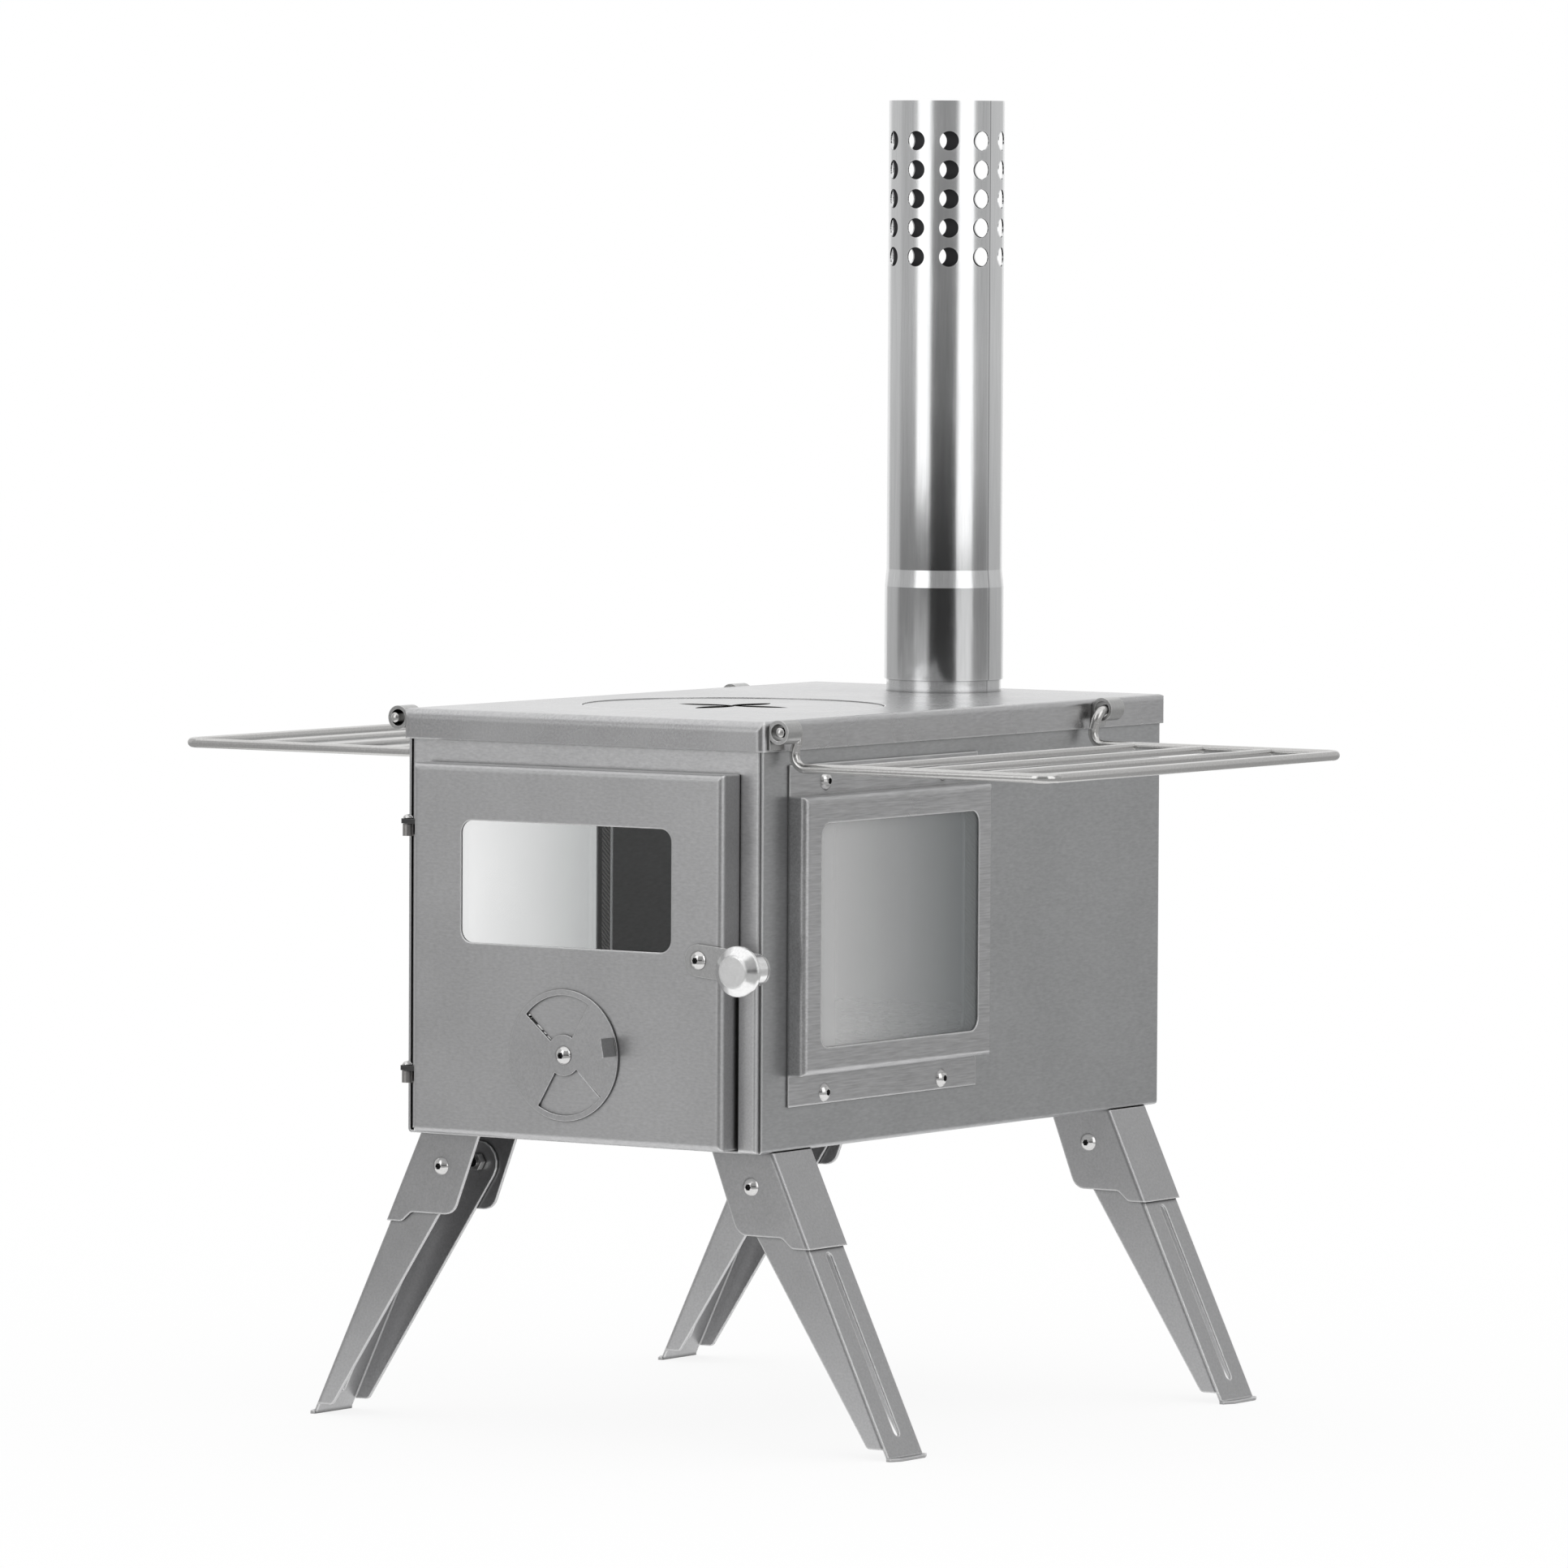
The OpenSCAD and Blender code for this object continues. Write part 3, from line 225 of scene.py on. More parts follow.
def dress(material, *names):
    """Puts one material on the CAD nodes with these names."""
    for name in names:
        nodes[name].data.materials.clear()
        nodes[name].data.materials.append(material)


dress(steel("wall_steel", wall_tone, wall_rough, pull=(1, 0.25, 1)), "firebox_shell")
dress(steel("face_steel", lightened_face_tone, face_rough, pull=(0.4, 1, 1)), "front_panel")

# The rear panel's inner face is pale and dull against its mill-finished back, and is painted
# darker to the right, a painted shade where the light from the left window falls off.
pale_tone, falloff_tone = (0.95, 0.955, 0.96), (0.38, 0.40, 0.41)
pale_until, falloff_full_at = -0.08, 0.01
inner_rough, inner_metal = 0.55, 0.1
rear_steel = steel("rear_steel", wall_tone, wall_rough, pull=(0.4, 1, 1))
tree = rear_steel.node_tree
skin = skin_of(rear_steel)
inner = faces_along(tree, (0, -1, 0), 0.4, 0.6)
# Painted shade: the inner face darkens from left to right.
falloff_share = ramp(tree, parts_of(tree, spot_on(tree))["X"], pale_until, falloff_full_at)
painted_falloff = add(tree, "MixRGB", "painted_falloff", Fac=falloff_share, Color1=pale_tone, Color2=falloff_tone)
lay_over(tree, skin["Base Color"], "inner face", inner, painted_falloff.outputs[0])
lay_over(tree, skin["Roughness"], "inner roughness", inner, [inner_rough] * 3)
tree.links.new(ramp(tree, inner, 0.0, 1.0, 1.0, inner_metal), skin["Metallic"])
dress(rear_steel, "rear_panel")

# Lid, hob ring and hob plate

# The lid is a pressed tray with folded lips, of the same sheet with a smoother face. The hob
# plate is a disc lying just under its face on a stepped ring, with four leaf-shaped openings.
lid_tone, lid_rough = (0.55, 0.55, 0.555), 0.27
dull_tone, dull_rough = (0.36, 0.36, 0.36), 0.4
dress(steel("lid_steel", lid_tone, lid_rough, pull=(1, 0.15, 1), bump=0.08, rough_vary=0.04),
      "lid")
dress(steel("ring_steel", dull_tone, dull_rough), "hob_ring")

# The hob's cut edges, which don't face up, are painted near black as painted shade.
hob_steel = steel("hob_steel", lid_tone, lid_rough, pull=(1, 0.15, 1), bump=0.08, edge=0.0004,
                  shine=1.0, rough_vary=0.04)
tree = hob_steel.node_tree
lay_over(tree, skin_of(hob_steel)["Base Color"], "painted_edge_shade",
         faces_along(tree, (0, 0, 1), 0.5, 0.3), (0.04, 0.038, 0.036))
dress(hob_steel, "hob_plate")

# Flue collar and flue section

# Both are rolled from bright annealed strip. The pipe's lower end is swaged out to slip over
# the collar, and its upper end is punched with rows of spark-guard holes.
flue_steel = steel("flue_steel", (0.74, 0.745, 0.75), 0.125, pull=(1, 1, 0.03), bump=0.05,
                   vary=0.06, shine=1.1, rough_vary=0.02)
dress(flue_steel, "flue_pipe", "flue_collar")

# Turned round: the true round normal of a wall about an upright axis. The offset from the axis,
# flattened and made a unit, takes the length of the face's own normal across the axis, and its
# sign. A face that looks less squarely away from the axis than wall_share is a cut edge, and
# keeps its own normal.
flatten = (1, 1, 0)
wall_share, inside_below = 0.975, -0.5
turned, given, result = effect(
    "turned_round", [("Vector", "Vector", (0, 0, 0)), ("Centre", "Vector", (0, 0, 0))],
    [("Normal", "Vector"), ("Inside", "Float"), ("Outward", "Vector")])


def carried(tree, normal, start, end):
    """A normal carried over from one space to another."""
    carrier = tree.nodes.new("ShaderNodeVectorTransform")
    carrier.vector_type = "NORMAL"
    carrier.convert_from, carrier.convert_to = start, end
    tree.links.new(normal, carrier.inputs[0])
    return carrier.outputs[0]


facet = turned.nodes.new("ShaderNodeNewGeometry").outputs["Normal"]
own = carried(turned, facet, "WORLD", "OBJECT")
offset = step(turned, "VectorMath", "SUBTRACT", given["Vector"], given["Centre"])
offset = step(turned, "VectorMath", "MULTIPLY", offset, flatten)
outward = step(turned, "VectorMath", "NORMALIZE", offset)
flat_part = step(turned, "VectorMath", "MULTIPLY", own, flatten)
upright_part = step(turned, "VectorMath", "SUBTRACT", own, flat_part)
width = step(turned, "VectorMath", "LENGTH", flat_part)
lean = step(turned, "VectorMath", "DOT_PRODUCT", own, outward)
signed = step(turned, "Math", "MULTIPLY", step(turned, "Math", "SIGN", lean), width)
round_part = step(turned, "VectorMath", "SCALE", outward, signed)
smooth = step(turned, "VectorMath", "ADD", round_part, upright_part)
least = step(turned, "Math", "MULTIPLY", width, wall_share)
is_wall = step(turned, "Math", "GREATER_THAN", step(turned, "Math", "ABSOLUTE", lean), least)
# The inputs 4 and 5 and the output 1 of this node are those of its vectors.
pick = turned.nodes.new("ShaderNodeMix")
pick.data_type = "VECTOR"
turned.links.new(is_wall, pick.inputs["Factor"])
turned.links.new(facet, pick.inputs[4])
turned.links.new(carried(turned, smooth, "OBJECT", "WORLD"), pick.inputs[5])
feed(turned, result, {"Normal": pick.outputs[1], "Outward": outward,
                      "Inside": step(turned, "Math", "LESS_THAN", lean, inside_below)})

# The strip is brushed round the pipe, its inside is rougher and painted dark, a painted shade,
# and its ends meet in a fine dark seam at the right. The polishing left shallow upright waves,
# deeper on the swaged end.
seam_turn = math.radians(-8.0)
seam_half, seam_depth = 0.011, 0.55
inside_rougher = 0.25
wave_stretch = (1, 1, 0.22)
pipe_wave, swage_wave = 0.18, 1.0
flue_low, flue_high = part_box("flue_pipe")
swage_top, swage_full = flue_low.z + 0.0563, flue_low.z + 0.0503
tree = flue_steel.node_tree
skin = skin_of(flue_steel)
skin["Anisotropic"].default_value = 0.95
brushed = tree.nodes.new("ShaderNodeTangent")
brushed.direction_type, brushed.axis = "RADIAL", "Z"
tree.links.new(brushed.outputs[0], skin["Tangent"])
spot = spot_on(tree)
rolled = place_effect(tree, turned, Vector=spot, Centre=(flue_low + flue_high) / 2).outputs
seam_out = (math.cos(seam_turn), math.sin(seam_turn), 0)
seam_across = (-math.sin(seam_turn), math.cos(seam_turn), 0)
this_side = step(tree, "VectorMath", "DOT_PRODUCT", rolled["Outward"], seam_out)
off_seam = step(tree, "VectorMath", "DOT_PRODUCT", rolled["Outward"], seam_across)
on_seam = step(tree, "Math", "LESS_THAN", step(tree, "Math", "ABSOLUTE", off_seam), seam_half)
on_seam = step(tree, "Math", "MULTIPLY", on_seam,
               step(tree, "Math", "GREATER_THAN", this_side, 0.0))
# The inside is painted dark as painted shade, and the seam is a dark joint.
inside_shade_and_seam = step(tree, "Math", "MAXIMUM", rolled["Inside"],
              step(tree, "Math", "MULTIPLY", on_seam, seam_depth))
lay_over(tree, skin["Base Color"], "painted shade inside, dark seam", inside_shade_and_seam, (0.10, 0.10, 0.105))
rougher = step(tree, "Math", "MULTIPLY_ADD", rolled["Inside"], inside_rougher,
               skin["Roughness"].links[0].from_socket)
tree.links.new(rougher, skin["Roughness"])
waves = add(tree, "TexNoise", Scale=75.0, Detail=2.0,
            Vector=step(tree, "VectorMath", "MULTIPLY", spot, wave_stretch))
deep = ramp(tree, parts_of(tree, spot)["Z"], swage_top, swage_full, pipe_wave, swage_wave)
swell = add(tree, "Bump", "polishing waves", Strength=deep, Distance=0.00024,
            Height=waves.outputs["Fac"], Normal=rolled["Normal"])
grain_relief = skin["Normal"].links[0].from_node
tree.links.new(swell.outputs[0], grain_relief.inputs["Normal"])

# Expanded-metal grate

# The loose grate is slit and stretched sheet: wavy strands that meet at raised bonds, with a
# plain rim, lying on two angle rails along the walls.
rim_wide = 0.004
strand_wide, strand_thick, bond_lift = 0.0024, 0.0011, 0.0016
strand_lean = 0.45
bond_overlap = 0.35
mesh_long, mesh_short = 0.030, 0.015
points_along = 99
grate_low, grate_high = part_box("grate")


def strand_wave(row, along):
    """A strand's swing at a place along it, from -1 to 1 and back over one long mesh: a triangle
    wave with its tips cut off flat, where the bonds are. Every second row is half a wave on."""
    steepness = 1.5
    phase = along / mesh_long * 2 + row % 2
    return np.clip(steepness * (2 * np.abs(phase % 2 - 1) - 1), -1, 1)


def bars(sections):
    """The corners and faces of closed bars. A bar is a row of rings of four corners: four-sided
    faces join each ring to the next one, and the two end rings are faces themselves."""
    count, rings, corners = sections.shape[:3]
    bar, ring, corner = np.meshgrid(np.arange(count), np.arange(rings - 1), np.arange(corners),
                                    indexing="ij")
    here = (bar * rings + ring) * corners + corner
    beside = (bar * rings + ring) * corners + (corner + 1) % corners
    sides = np.stack([here, beside, beside + corners, here + corners], -1).reshape(-1, 4)
    first = np.arange(count)[:, None] * rings * corners + np.arange(corners)[None, ::-1]
    last = (np.arange(count)[:, None] * rings + rings - 1) * corners + np.arange(corners)[None]
    return sections.reshape(-1, 3), np.vstack([sides, first, last])


def made_of(material, name, corners, faces):
    """A new mesh object of one material."""
    mesh = bpy.data.meshes.new(name)
    mesh.from_pydata(np.asarray(corners).tolist(), [], np.asarray(faces).tolist())
    mesh.update()
    mesh.materials.append(material)
    made = bpy.data.objects.new(name, mesh)
    bpy.context.scene.collection.objects.link(made)
    return made


# The strands run along X, half a short mesh apart. Each swings sideways by its wave until it
# meets its neighbours at the bonds, and climbs with the same wave from the grate's underside to
# the full lift. Its section is a flat bar that leans.
rows = int((grate_high.y - grate_low.y - 2 * rim_wide) / (mesh_short / 2))
row = np.arange(rows)[:, None]
along = np.linspace(grate_low.x + rim_wide / 2, grate_high.x - rim_wide / 2, points_along)[None]
first_row = (grate_low.y + grate_high.y - rows * mesh_short / 2) / 2 + mesh_short / 4
wave = strand_wave(row, along)
strand_y = first_row + row * mesh_short / 2 + wave * (mesh_short / 4 - strand_wide * bond_overlap)
strand_z = grate_low.z + strand_thick / 2 + bond_lift * (wave + 1) / 2
flat_bar = np.array([[-1, -1], [1, -1], [1, 1], [-1, 1]]) * [strand_wide / 2, strand_thick / 2]
leaning = flat_bar @ np.array([[math.cos(strand_lean), math.sin(strand_lean)],
                               [-math.sin(strand_lean), math.cos(strand_lean)]])
section = np.empty((rows, points_along, 4, 3))
section[..., 0] = along[..., None]
section[..., 1] = strand_y[..., None] + leaning[:, 0]
section[..., 2] = strand_z[..., None] + leaning[:, 1]
strands, strand_faces = bars(section)

# The rim is four flat bars, the front and rear ones over the whole width and the side ones
# between them. Each row holds a bar's two ends in X and its two edges in Y.
rim_front, rim_rear = grate_low.y + rim_wide, grate_high.y - rim_wide
rim_places = np.array([[grate_low.x, grate_high.x, grate_low.y, rim_front],
                       [grate_low.x, grate_high.x, rim_rear, grate_high.y],
                       [grate_low.x, grate_low.x + rim_wide, rim_front, rim_rear],
                       [grate_high.x - rim_wide, grate_high.x, rim_front, rim_rear]])
rim_section = np.empty((4, 2, 4, 3))
rim_section[..., 0] = rim_places[:, :2, None]
rim_section[..., 1] = rim_places[:, None, [2, 3, 3, 2]]
rim_section[..., 2] = [grate_low.z, grate_low.z, grate_high.z, grate_high.z]
rims, rim_faces = bars(rim_section)

grate_steel = steel("grate_steel", (0.95, 0.945, 0.94), 0.28, edge=0.0003, shade_reach=0.0003,
                    clouds=40, shine=1.3)
skin_of(grate_steel)["Metallic"].default_value = 0.8
expanded_grate = made_of(grate_steel, "expanded_grate", np.vstack([strands, rims]),
                         np.vstack([strand_faces, rim_faces + len(strands)]))
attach(expanded_grate, "stove")
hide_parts("grate")
dress(steel("rail_steel", dull_tone, dull_rough), "grate_rails")

# Side windows

# Each frame is a shallow pressed tray with a screwed flange above and below, brushed along its
# length. Behind its face lies a pane of clear heat-proof glass on a woven glass-fibre rope.
frame_steel = steel("frame_steel", (0.56, 0.56, 0.565), 0.3, pull=(1, 0.06, 1), grain=1100,
                    vary=0.2)
dress(frame_steel, "window_frame_right", "window_frame_left")


def clear_glass(name, through, front, front_tone, rear, rear_tone):
    """Glass that lets through that share of the light, tinted from one tone to the other between
    two depths, along Y. Where the tint turns grey it is painted shade."""
    mat, tree, pane = new_material(name)
    spot = spot_on(tree)
    # Painted shade: the pane's tint turns grey towards the rear.
    glass_shade = add(tree, "MixRGB", "painted glass shade", Color1=front_tone, Color2=rear_tone,
               Fac=ramp(tree, parts_of(tree, spot)["Y"], front, rear))
    smear = add(tree, "TexNoise", Vector=spot, Scale=14.0, Detail=4.0).outputs["Fac"]
    tint = add(tree, "MixRGB", "smear", Fac=1.0, Color1=glass_shade.outputs[0],
               Color2=ramp(tree, smear, 0.3, 0.7, 0.97, 1.0))
    tint.blend_type = "MULTIPLY"
    feed(tree, pane, {"Transmission Weight": through, "Roughness": 0.0, "IOR": 1.47,
                      "Base Color": tint.outputs[0]})
    path = tree.nodes.new("ShaderNodeLightPath").outputs
    passes = step(tree, "Math", "MAXIMUM", path["Is Shadow Ray"], path["Is Diffuse Ray"])
    open_way = add(tree, "BsdfTransparent", Color=(0.9, 0.9, 0.9))
    blend = add(tree, "MixShader", "light that passes")
    tree.links.new(passes, blend.inputs[0])
    tree.links.new(pane.outputs[0], blend.inputs[1])
    tree.links.new(open_way.outputs[0], blend.inputs[2])
    tree.links.new(blend.outputs[0], tree.nodes["Material Output"].inputs["Surface"])
    return mat


# Both side panes are clear towards the front and painted grey towards the rear, a painted shade.
# The right one is painted the darker grey, and lets through less.
clear_tone, right_shade_tone, left_shade_tone = (0.99, 0.99, 0.99), (0.36, 0.38, 0.385), (0.55, 0.56, 0.56)
right_clear_until, left_clear_until, glass_shade_full_at = -0.12, -0.10, 0.0
right_glass = clear_glass("right_glass", 0.74, right_clear_until, clear_tone, glass_shade_full_at, right_shade_tone)
left_glass = clear_glass("left_glass", 1.0, left_clear_until, clear_tone, glass_shade_full_at, left_shade_tone)
dress(right_glass, "window_glass_right")
dress(left_glass, "window_glass_left")

# The rope is a tight dark plait, drawn as slanting bands.
gasket_rope, tree, yarn = new_material("gasket_rope")
plait = add(tree, "TexWave", Vector=spot_on(tree), Scale=260.0, Distortion=2.0, Detail=1.0)
plait.bands_direction = "DIAGONAL"
greys = add(tree, "MixRGB", Fac=plait.outputs["Fac"], Color1=(0.03, 0.03, 0.03),
            Color2=(0.12, 0.115, 0.11))
twist = add(tree, "Bump", Strength=0.8, Distance=0.0006, Height=plait.outputs["Fac"])
feed(tree, yarn, {"Base Color": greys.outputs[0], "Roughness": 0.95, "Normal": twist.outputs[0]})
dress(gasket_rope, "window_gasket_right", "window_gasket_left")

# Screws, pins and nuts

# Bright turned steel: button-head screws with a hexagon socket and domed hinge pins. The nuts
# are duller. They hold the window frames, damper, latch, glass retainer and legs.
screw_look = {"tone": (0.72, 0.715, 0.71), "rough": 0.14, "bump": 0.03, "vary": 0.06,
              "edge": 0.0003}

# Drive socket: the middle of a domed head, where its face looks along the screw's own axis, one
# way or the other. There the colour is painted near black, a painted shade in the socket.
socket_outer, socket_inner = 0.955, 0.965
drive_socket, given, result = effect(
    "drive_socket", [("Normal", "Vector", (0, 0, 1)), ("Axis", "Vector", (0, 0, 1))],
    [("Mask", "Float")])
either_way = step(drive_socket, "Math", "ABSOLUTE", step(
    drive_socket, "VectorMath", "DOT_PRODUCT", given["Normal"], given["Axis"]))
feed(drive_socket, result, {"Mask": ramp(drive_socket, either_way, socket_outer, socket_inner)})


def screw_steel(name, axis):
    """The steel of screws that lie along an axis, with painted shade in their sockets."""
    mat = steel(name, **screw_look)
    tree = mat.node_tree
    normal = tree.nodes.new("ShaderNodeTexCoord").outputs["Normal"]
    socket_shade = place_effect(tree, drive_socket, Normal=normal, Axis=axis).outputs["Mask"]
    lay_over(tree, skin_of(mat)["Base Color"], "socket", socket_shade, (0.03, 0.03, 0.03))
    return mat


dress(screw_steel("side_screw_steel", (1, 0, 0)), "window_screws_right", "window_screws_left")
dress(screw_steel("screw_steel", (0, 1, 0)), "damper_screw", "latch_screw", "leg_screws")
dress(steel("pin_steel", **screw_look), "hinge_pins")
dress(steel("nut_steel", (0.50, 0.50, 0.495), 0.3, edge=0.0003), "window_nuts", "damper_nut",
      "latch_nut", "leg_nuts", "retainer_nuts", "retainer_studs")

# Fire door

# The door is a pressed pan of the satin sheet, with a glazed window held from behind by a
# plain retaining frame on welded studs.
door_glass_tone = (0.985, 0.99, 0.99)
door_front, door_rear = -0.2, 0.0
dress(steel("door_steel", (0.56, 0.56, 0.565), 0.36, pull=(0.4, 1, 1)), "door_pan")
dress(clear_glass("door_glass", 1.0, door_front, door_glass_tone, door_rear, door_glass_tone),
      "door_glass")
dress(steel("retainer_steel", dull_tone, dull_rough), "glass_retainer")

# Air damper

# A thin disc with two air windows turns on a screw over matching windows in the door. Its edge
# is bent out into an ear.
dress(steel("damper_steel", (0.54, 0.54, 0.545), 0.36, clouds=30, edge=0.0004), "damper_disc")

# Latch and keeper

# A flat lever with round ends turns on a screw and carries a turned, polished knob. It drops
# into a hook at the top of a formed strip on the front panel.
dress(steel("lever_steel", (0.55, 0.55, 0.55), 0.3, edge=0.0004), "latch_lever")
dress(steel("knob_steel", (0.97, 0.97, 0.97), 0.22, pull=(1, 0.1, 1), bump=0.03, vary=0.06,
            shine=1.0), "latch_knob")
dress(steel("keeper_steel", (0.66, 0.66, 0.665), 0.34, shade_reach=0.0008), "latch_keeper")

# Hinges

# Lift-off barrels are welded to the front panel, and the lugs on the door are darkened by their
# weld.
dress(steel("barrel_steel", (0.40, 0.39, 0.38), 0.3, edge=0.0003), "hinge_lugs_body")
dress(steel("lug_steel", (0.10, 0.10, 0.10), 0.35, edge=0.0003), "hinge_lugs_door")

# Legs

# Brackets and legs are folded channels of thicker sheet, nested and pinned by pairs of short
# screws, with long slots in the legs and feet bent outwards.
leg_steel = steel("leg_steel", (0.47, 0.47, 0.475), 0.36, clouds=40, edge=0.0013, shine=2.4)
dress(leg_steel, "leg_brackets", "leg_front_right", "leg_front_left", "leg_rear_right",
      "leg_rear_left")

# Folding shelves

# Bent and spot-welded wire, electropolished, turns in short barrels rolled from the tails of
# strips on the lid's side lips.
wire_steel = steel("wire_steel", (0.62, 0.615, 0.605), 0.2, bump=0.04, vary=0.08, edge=0.0003)
dress(wire_steel, "shelf_right", "shelf_left")
dress(steel("rolled_steel", (0.50, 0.50, 0.495), 0.3, edge=0.0004),
      "shelf_barrels_right", "shelf_barrels_left")

# Floor, light and camera

# A white studio. The steel mirrors tall panels round the stove, a dark backdrop behind the lens,
# a soft light either side of it, then a grey and a pale wall, and a grey card on the floor. The
# long lens looks from the front right, a little above the lid.
scene = bpy.context.scene
scene.view_settings.view_transform = "Standard"
lens_turn, lens_dip, lens_roll = (math.radians(a) for a in (33.89, 3.25, 0.304))
lens_place = (3.1092, -4.6175, 0.6357)
toward = np.array([math.sin(lens_turn), -math.cos(lens_turn), 0.0])
sideways = np.array([math.cos(lens_turn), math.sin(lens_turn), 0.0])

world = bpy.data.worlds.new("white_studio")
scene.world = world
world.use_nodes = True
feed(world.node_tree, world.node_tree.nodes["Background"], {"Color": (1, 1, 1), "Strength": 1.0})


def round_strip(start, end, columns, near, far, low, high):
    """A strip round the stove, from one angle off the lens to another in even turns. The corners
    of each turn lie at a near distance and a low height, and at a far distance and a high one."""
    angle = np.radians(np.linspace(start, end, columns))[:, None, None]
    distance = np.array([near, far])[:, None]
    corners = (np.cos(angle) * toward + np.sin(angle) * sideways) * distance
    corners[..., 2] = (low, high)
    index = np.arange(columns * 2).reshape(columns, 2)
    faces = np.stack([index[:-1, 0], index[1:, 0], index[1:, 1], index[:-1, 1]], -1)
    return corners.reshape(-1, 3), faces


def glowing(name):
    """A material that only gives light, its node tree and its glow."""
    mat, tree, skin = new_material(name)
    tree.nodes.remove(skin)
    glow = add(tree, "Emission")
    tree.links.new(glow.outputs[0], tree.nodes["Material Output"].inputs["Surface"])
    return mat, tree, glow


wall_distance, light_distance = 2.4, 2.38
panel_top = 2.6
panel_columns = 17


def curved_panel(name, start, end, distance, levels):
    """An upright panel from one angle off the lens to another, whose brightness runs straight
    from each (height, level) pair to the next. Only reflections and glass show it."""
    lamp, tree, glow = glowing(name)
    rise = ramp(tree, parts_of(tree, spot_on(tree))["Z"], 0.0, panel_top)
    level = add(tree, "FloatCurve", Value=rise)
    level.mapping.use_clip = False
    # The curve runs from 0 to 1 both ways, so it holds the levels as shares of the brightest
    # one there can be. It starts with two points of its own, which take the first two pairs.
    brightest = 2.0
    points = level.mapping.curves[0].points
    for i, (height, value) in enumerate(levels):
        place = (height / panel_top, value / brightest)
        if i < 2:
            points[i].location = place
        else:
            points.new(*place)
    for point in points:
        point.handle_type = "VECTOR"
    level.mapping.update()
    feed(tree, glow, {"Strength": step(tree, "Math", "MULTIPLY", level.outputs[0], brightest)})
    corners, faces = round_strip(start, end, panel_columns, distance, distance, 0.0, panel_top)
    panel = made_of(lamp, name, corners, faces)
    panel.visible_camera = panel.visible_diffuse = panel.visible_shadow = False


dark_backdrop = [(0.0, 0.30), (0.15, 0.20), (0.25, 0.03), (0.341, 0.03), (0.371, 0.057),
                 (0.408, 0.10), (0.48, 0.19), (0.553, 0.24), (0.673, 0.34), (0.95, 0.34),
                 (panel_top, 0.45)]
left_light = [(0.0, 0.90), (0.20, 0.75), (0.29, 0.45), (0.33, 0.17), (0.372, 0.17), (0.386, 1.5),
              (panel_top, 1.6)]
right_light = [(0.0, 0.90), (0.31, 0.85), (0.33, 0.45), (0.342, 0.5), (0.352, 1.5),
               (panel_top, 1.6)]
grey_wall = [(0.0, 0.42), (0.23, 0.55), (0.27, 0.25), (0.36, 0.25), (0.42, 0.40), (0.50, 0.50),
             (panel_top, 0.55)]
pale_wall = [(0.0, 0.48), (0.30, 0.50), (0.50, 0.64), (panel_top, 0.70)]

# Angles off the lens where each pair of panels begins, to its left and to its right, and where
# the last pair ends.
light_left, light_right = -31, 26
grey_left, grey_right = -62, 60
pale_left, pale_right = -105, 97
last_left, last_right = -150, 150
curved_panel("backdrop_behind_lens", light_left, light_right, wall_distance, dark_backdrop)
curved_panel("soft_light_left", grey_left, light_left, light_distance, left_light)
curved_panel("soft_light_right", light_right, grey_right, light_distance, right_light)
curved_panel("grey_wall_left", pale_left, grey_left, wall_distance, grey_wall)
curved_panel("grey_wall_right", grey_right, pale_right, wall_distance, grey_wall)
curved_panel("pale_wall_left", last_left, pale_left, wall_distance, pale_wall)
curved_panel("pale_wall_right", pale_right, last_right, wall_distance, pale_wall)

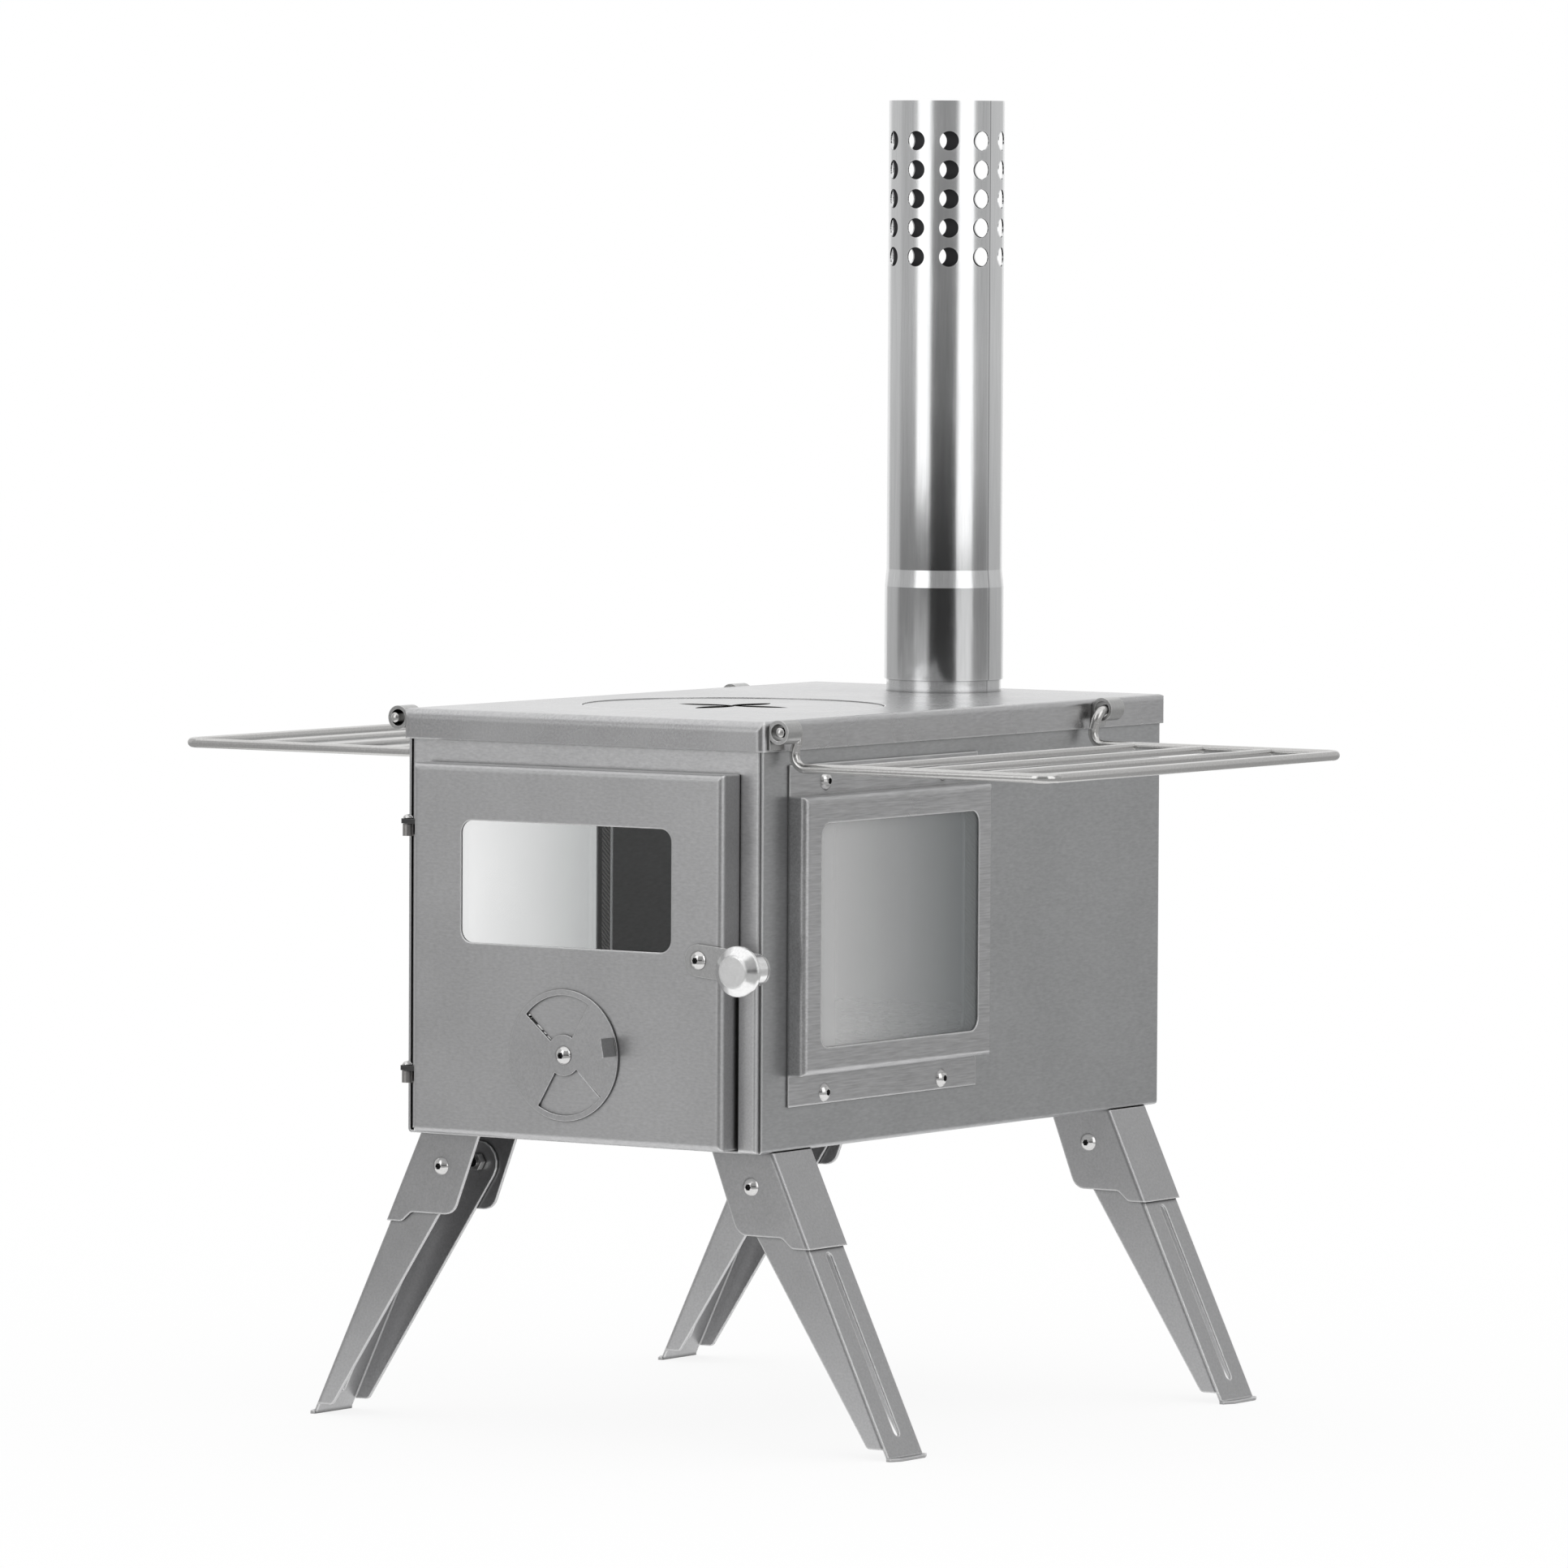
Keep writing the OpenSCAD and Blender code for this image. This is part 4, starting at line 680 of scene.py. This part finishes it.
# The card lies just above the floor, from near the feet out to the panels.
card_columns = 61
card_near, card_lift, card_level = 0.5, 0.002, 0.45
card_paint, tree, glow = glowing("grey_card")
glow.inputs["Strength"].default_value = card_level
card_corners, card_faces = round_strip(last_left, last_right, card_columns, card_near,
                                       light_distance, card_lift, card_lift)
card = made_of(card_paint, "grey_card", card_corners, card_faces[:, ::-1])
card.visible_camera = card.visible_diffuse = False
card.visible_transmission = card.visible_shadow = False

# The paper floor keeps the stove's shadow, and is nearly white by itself where the lens, a
# reflection or the glass shows it.
floor_half, floor_share = 12, 0.85
paper, tree, matte = new_material("white_paper")
feed(tree, matte, {"Base Color": (1, 1, 1), "Roughness": 1.0, "Specular IOR Level": 0.0})
white = add(tree, "Emission", Strength=1.0)
seen = tree.nodes.new("ShaderNodeLightPath").outputs
shown = step(tree, "Math", "MAXIMUM", seen["Is Camera Ray"], seen["Is Glossy Ray"])
shown = step(tree, "Math", "MAXIMUM", shown, seen["Is Transmission Ray"])
blend = add(tree, "MixShader")
tree.links.new(step(tree, "Math", "MULTIPLY", shown, floor_share), blend.inputs[0])
tree.links.new(matte.outputs[0], blend.inputs[1])
tree.links.new(white.outputs[0], blend.inputs[2])
tree.links.new(blend.outputs[0], tree.nodes["Material Output"].inputs["Surface"])
floor_corners = np.array([[-1, -1, 0], [1, -1, 0], [1, 1, 0], [-1, 1, 0]]) * floor_half
floor = made_of(paper, "floor", floor_corners, [[0, 1, 2, 3]])

# The photograph's width and the focal length of its lens, both in its pixels.
photo_wide, photo_focal = 1932, 13505
lens = bpy.data.cameras.new("camera")
lens.sensor_width = 36.0
lens.lens = lens.sensor_width * photo_focal / photo_wide
lens.clip_start, lens.clip_end = 0.1, 60
camera = bpy.data.objects.new("camera", lens)
scene.collection.objects.link(camera)
look = -toward * math.cos(lens_dip) - np.array([0, 0, math.sin(lens_dip)])
upright = np.cross(sideways, look)
right = sideways * math.cos(lens_roll) + upright * math.sin(lens_roll)
above = upright * math.cos(lens_roll) - sideways * math.sin(lens_roll)
columns = [(*right, 0), (*above, 0), (*-look, 0), (*lens_place, 1)]
camera.matrix_world = Matrix(columns).transposed()
scene.camera = camera
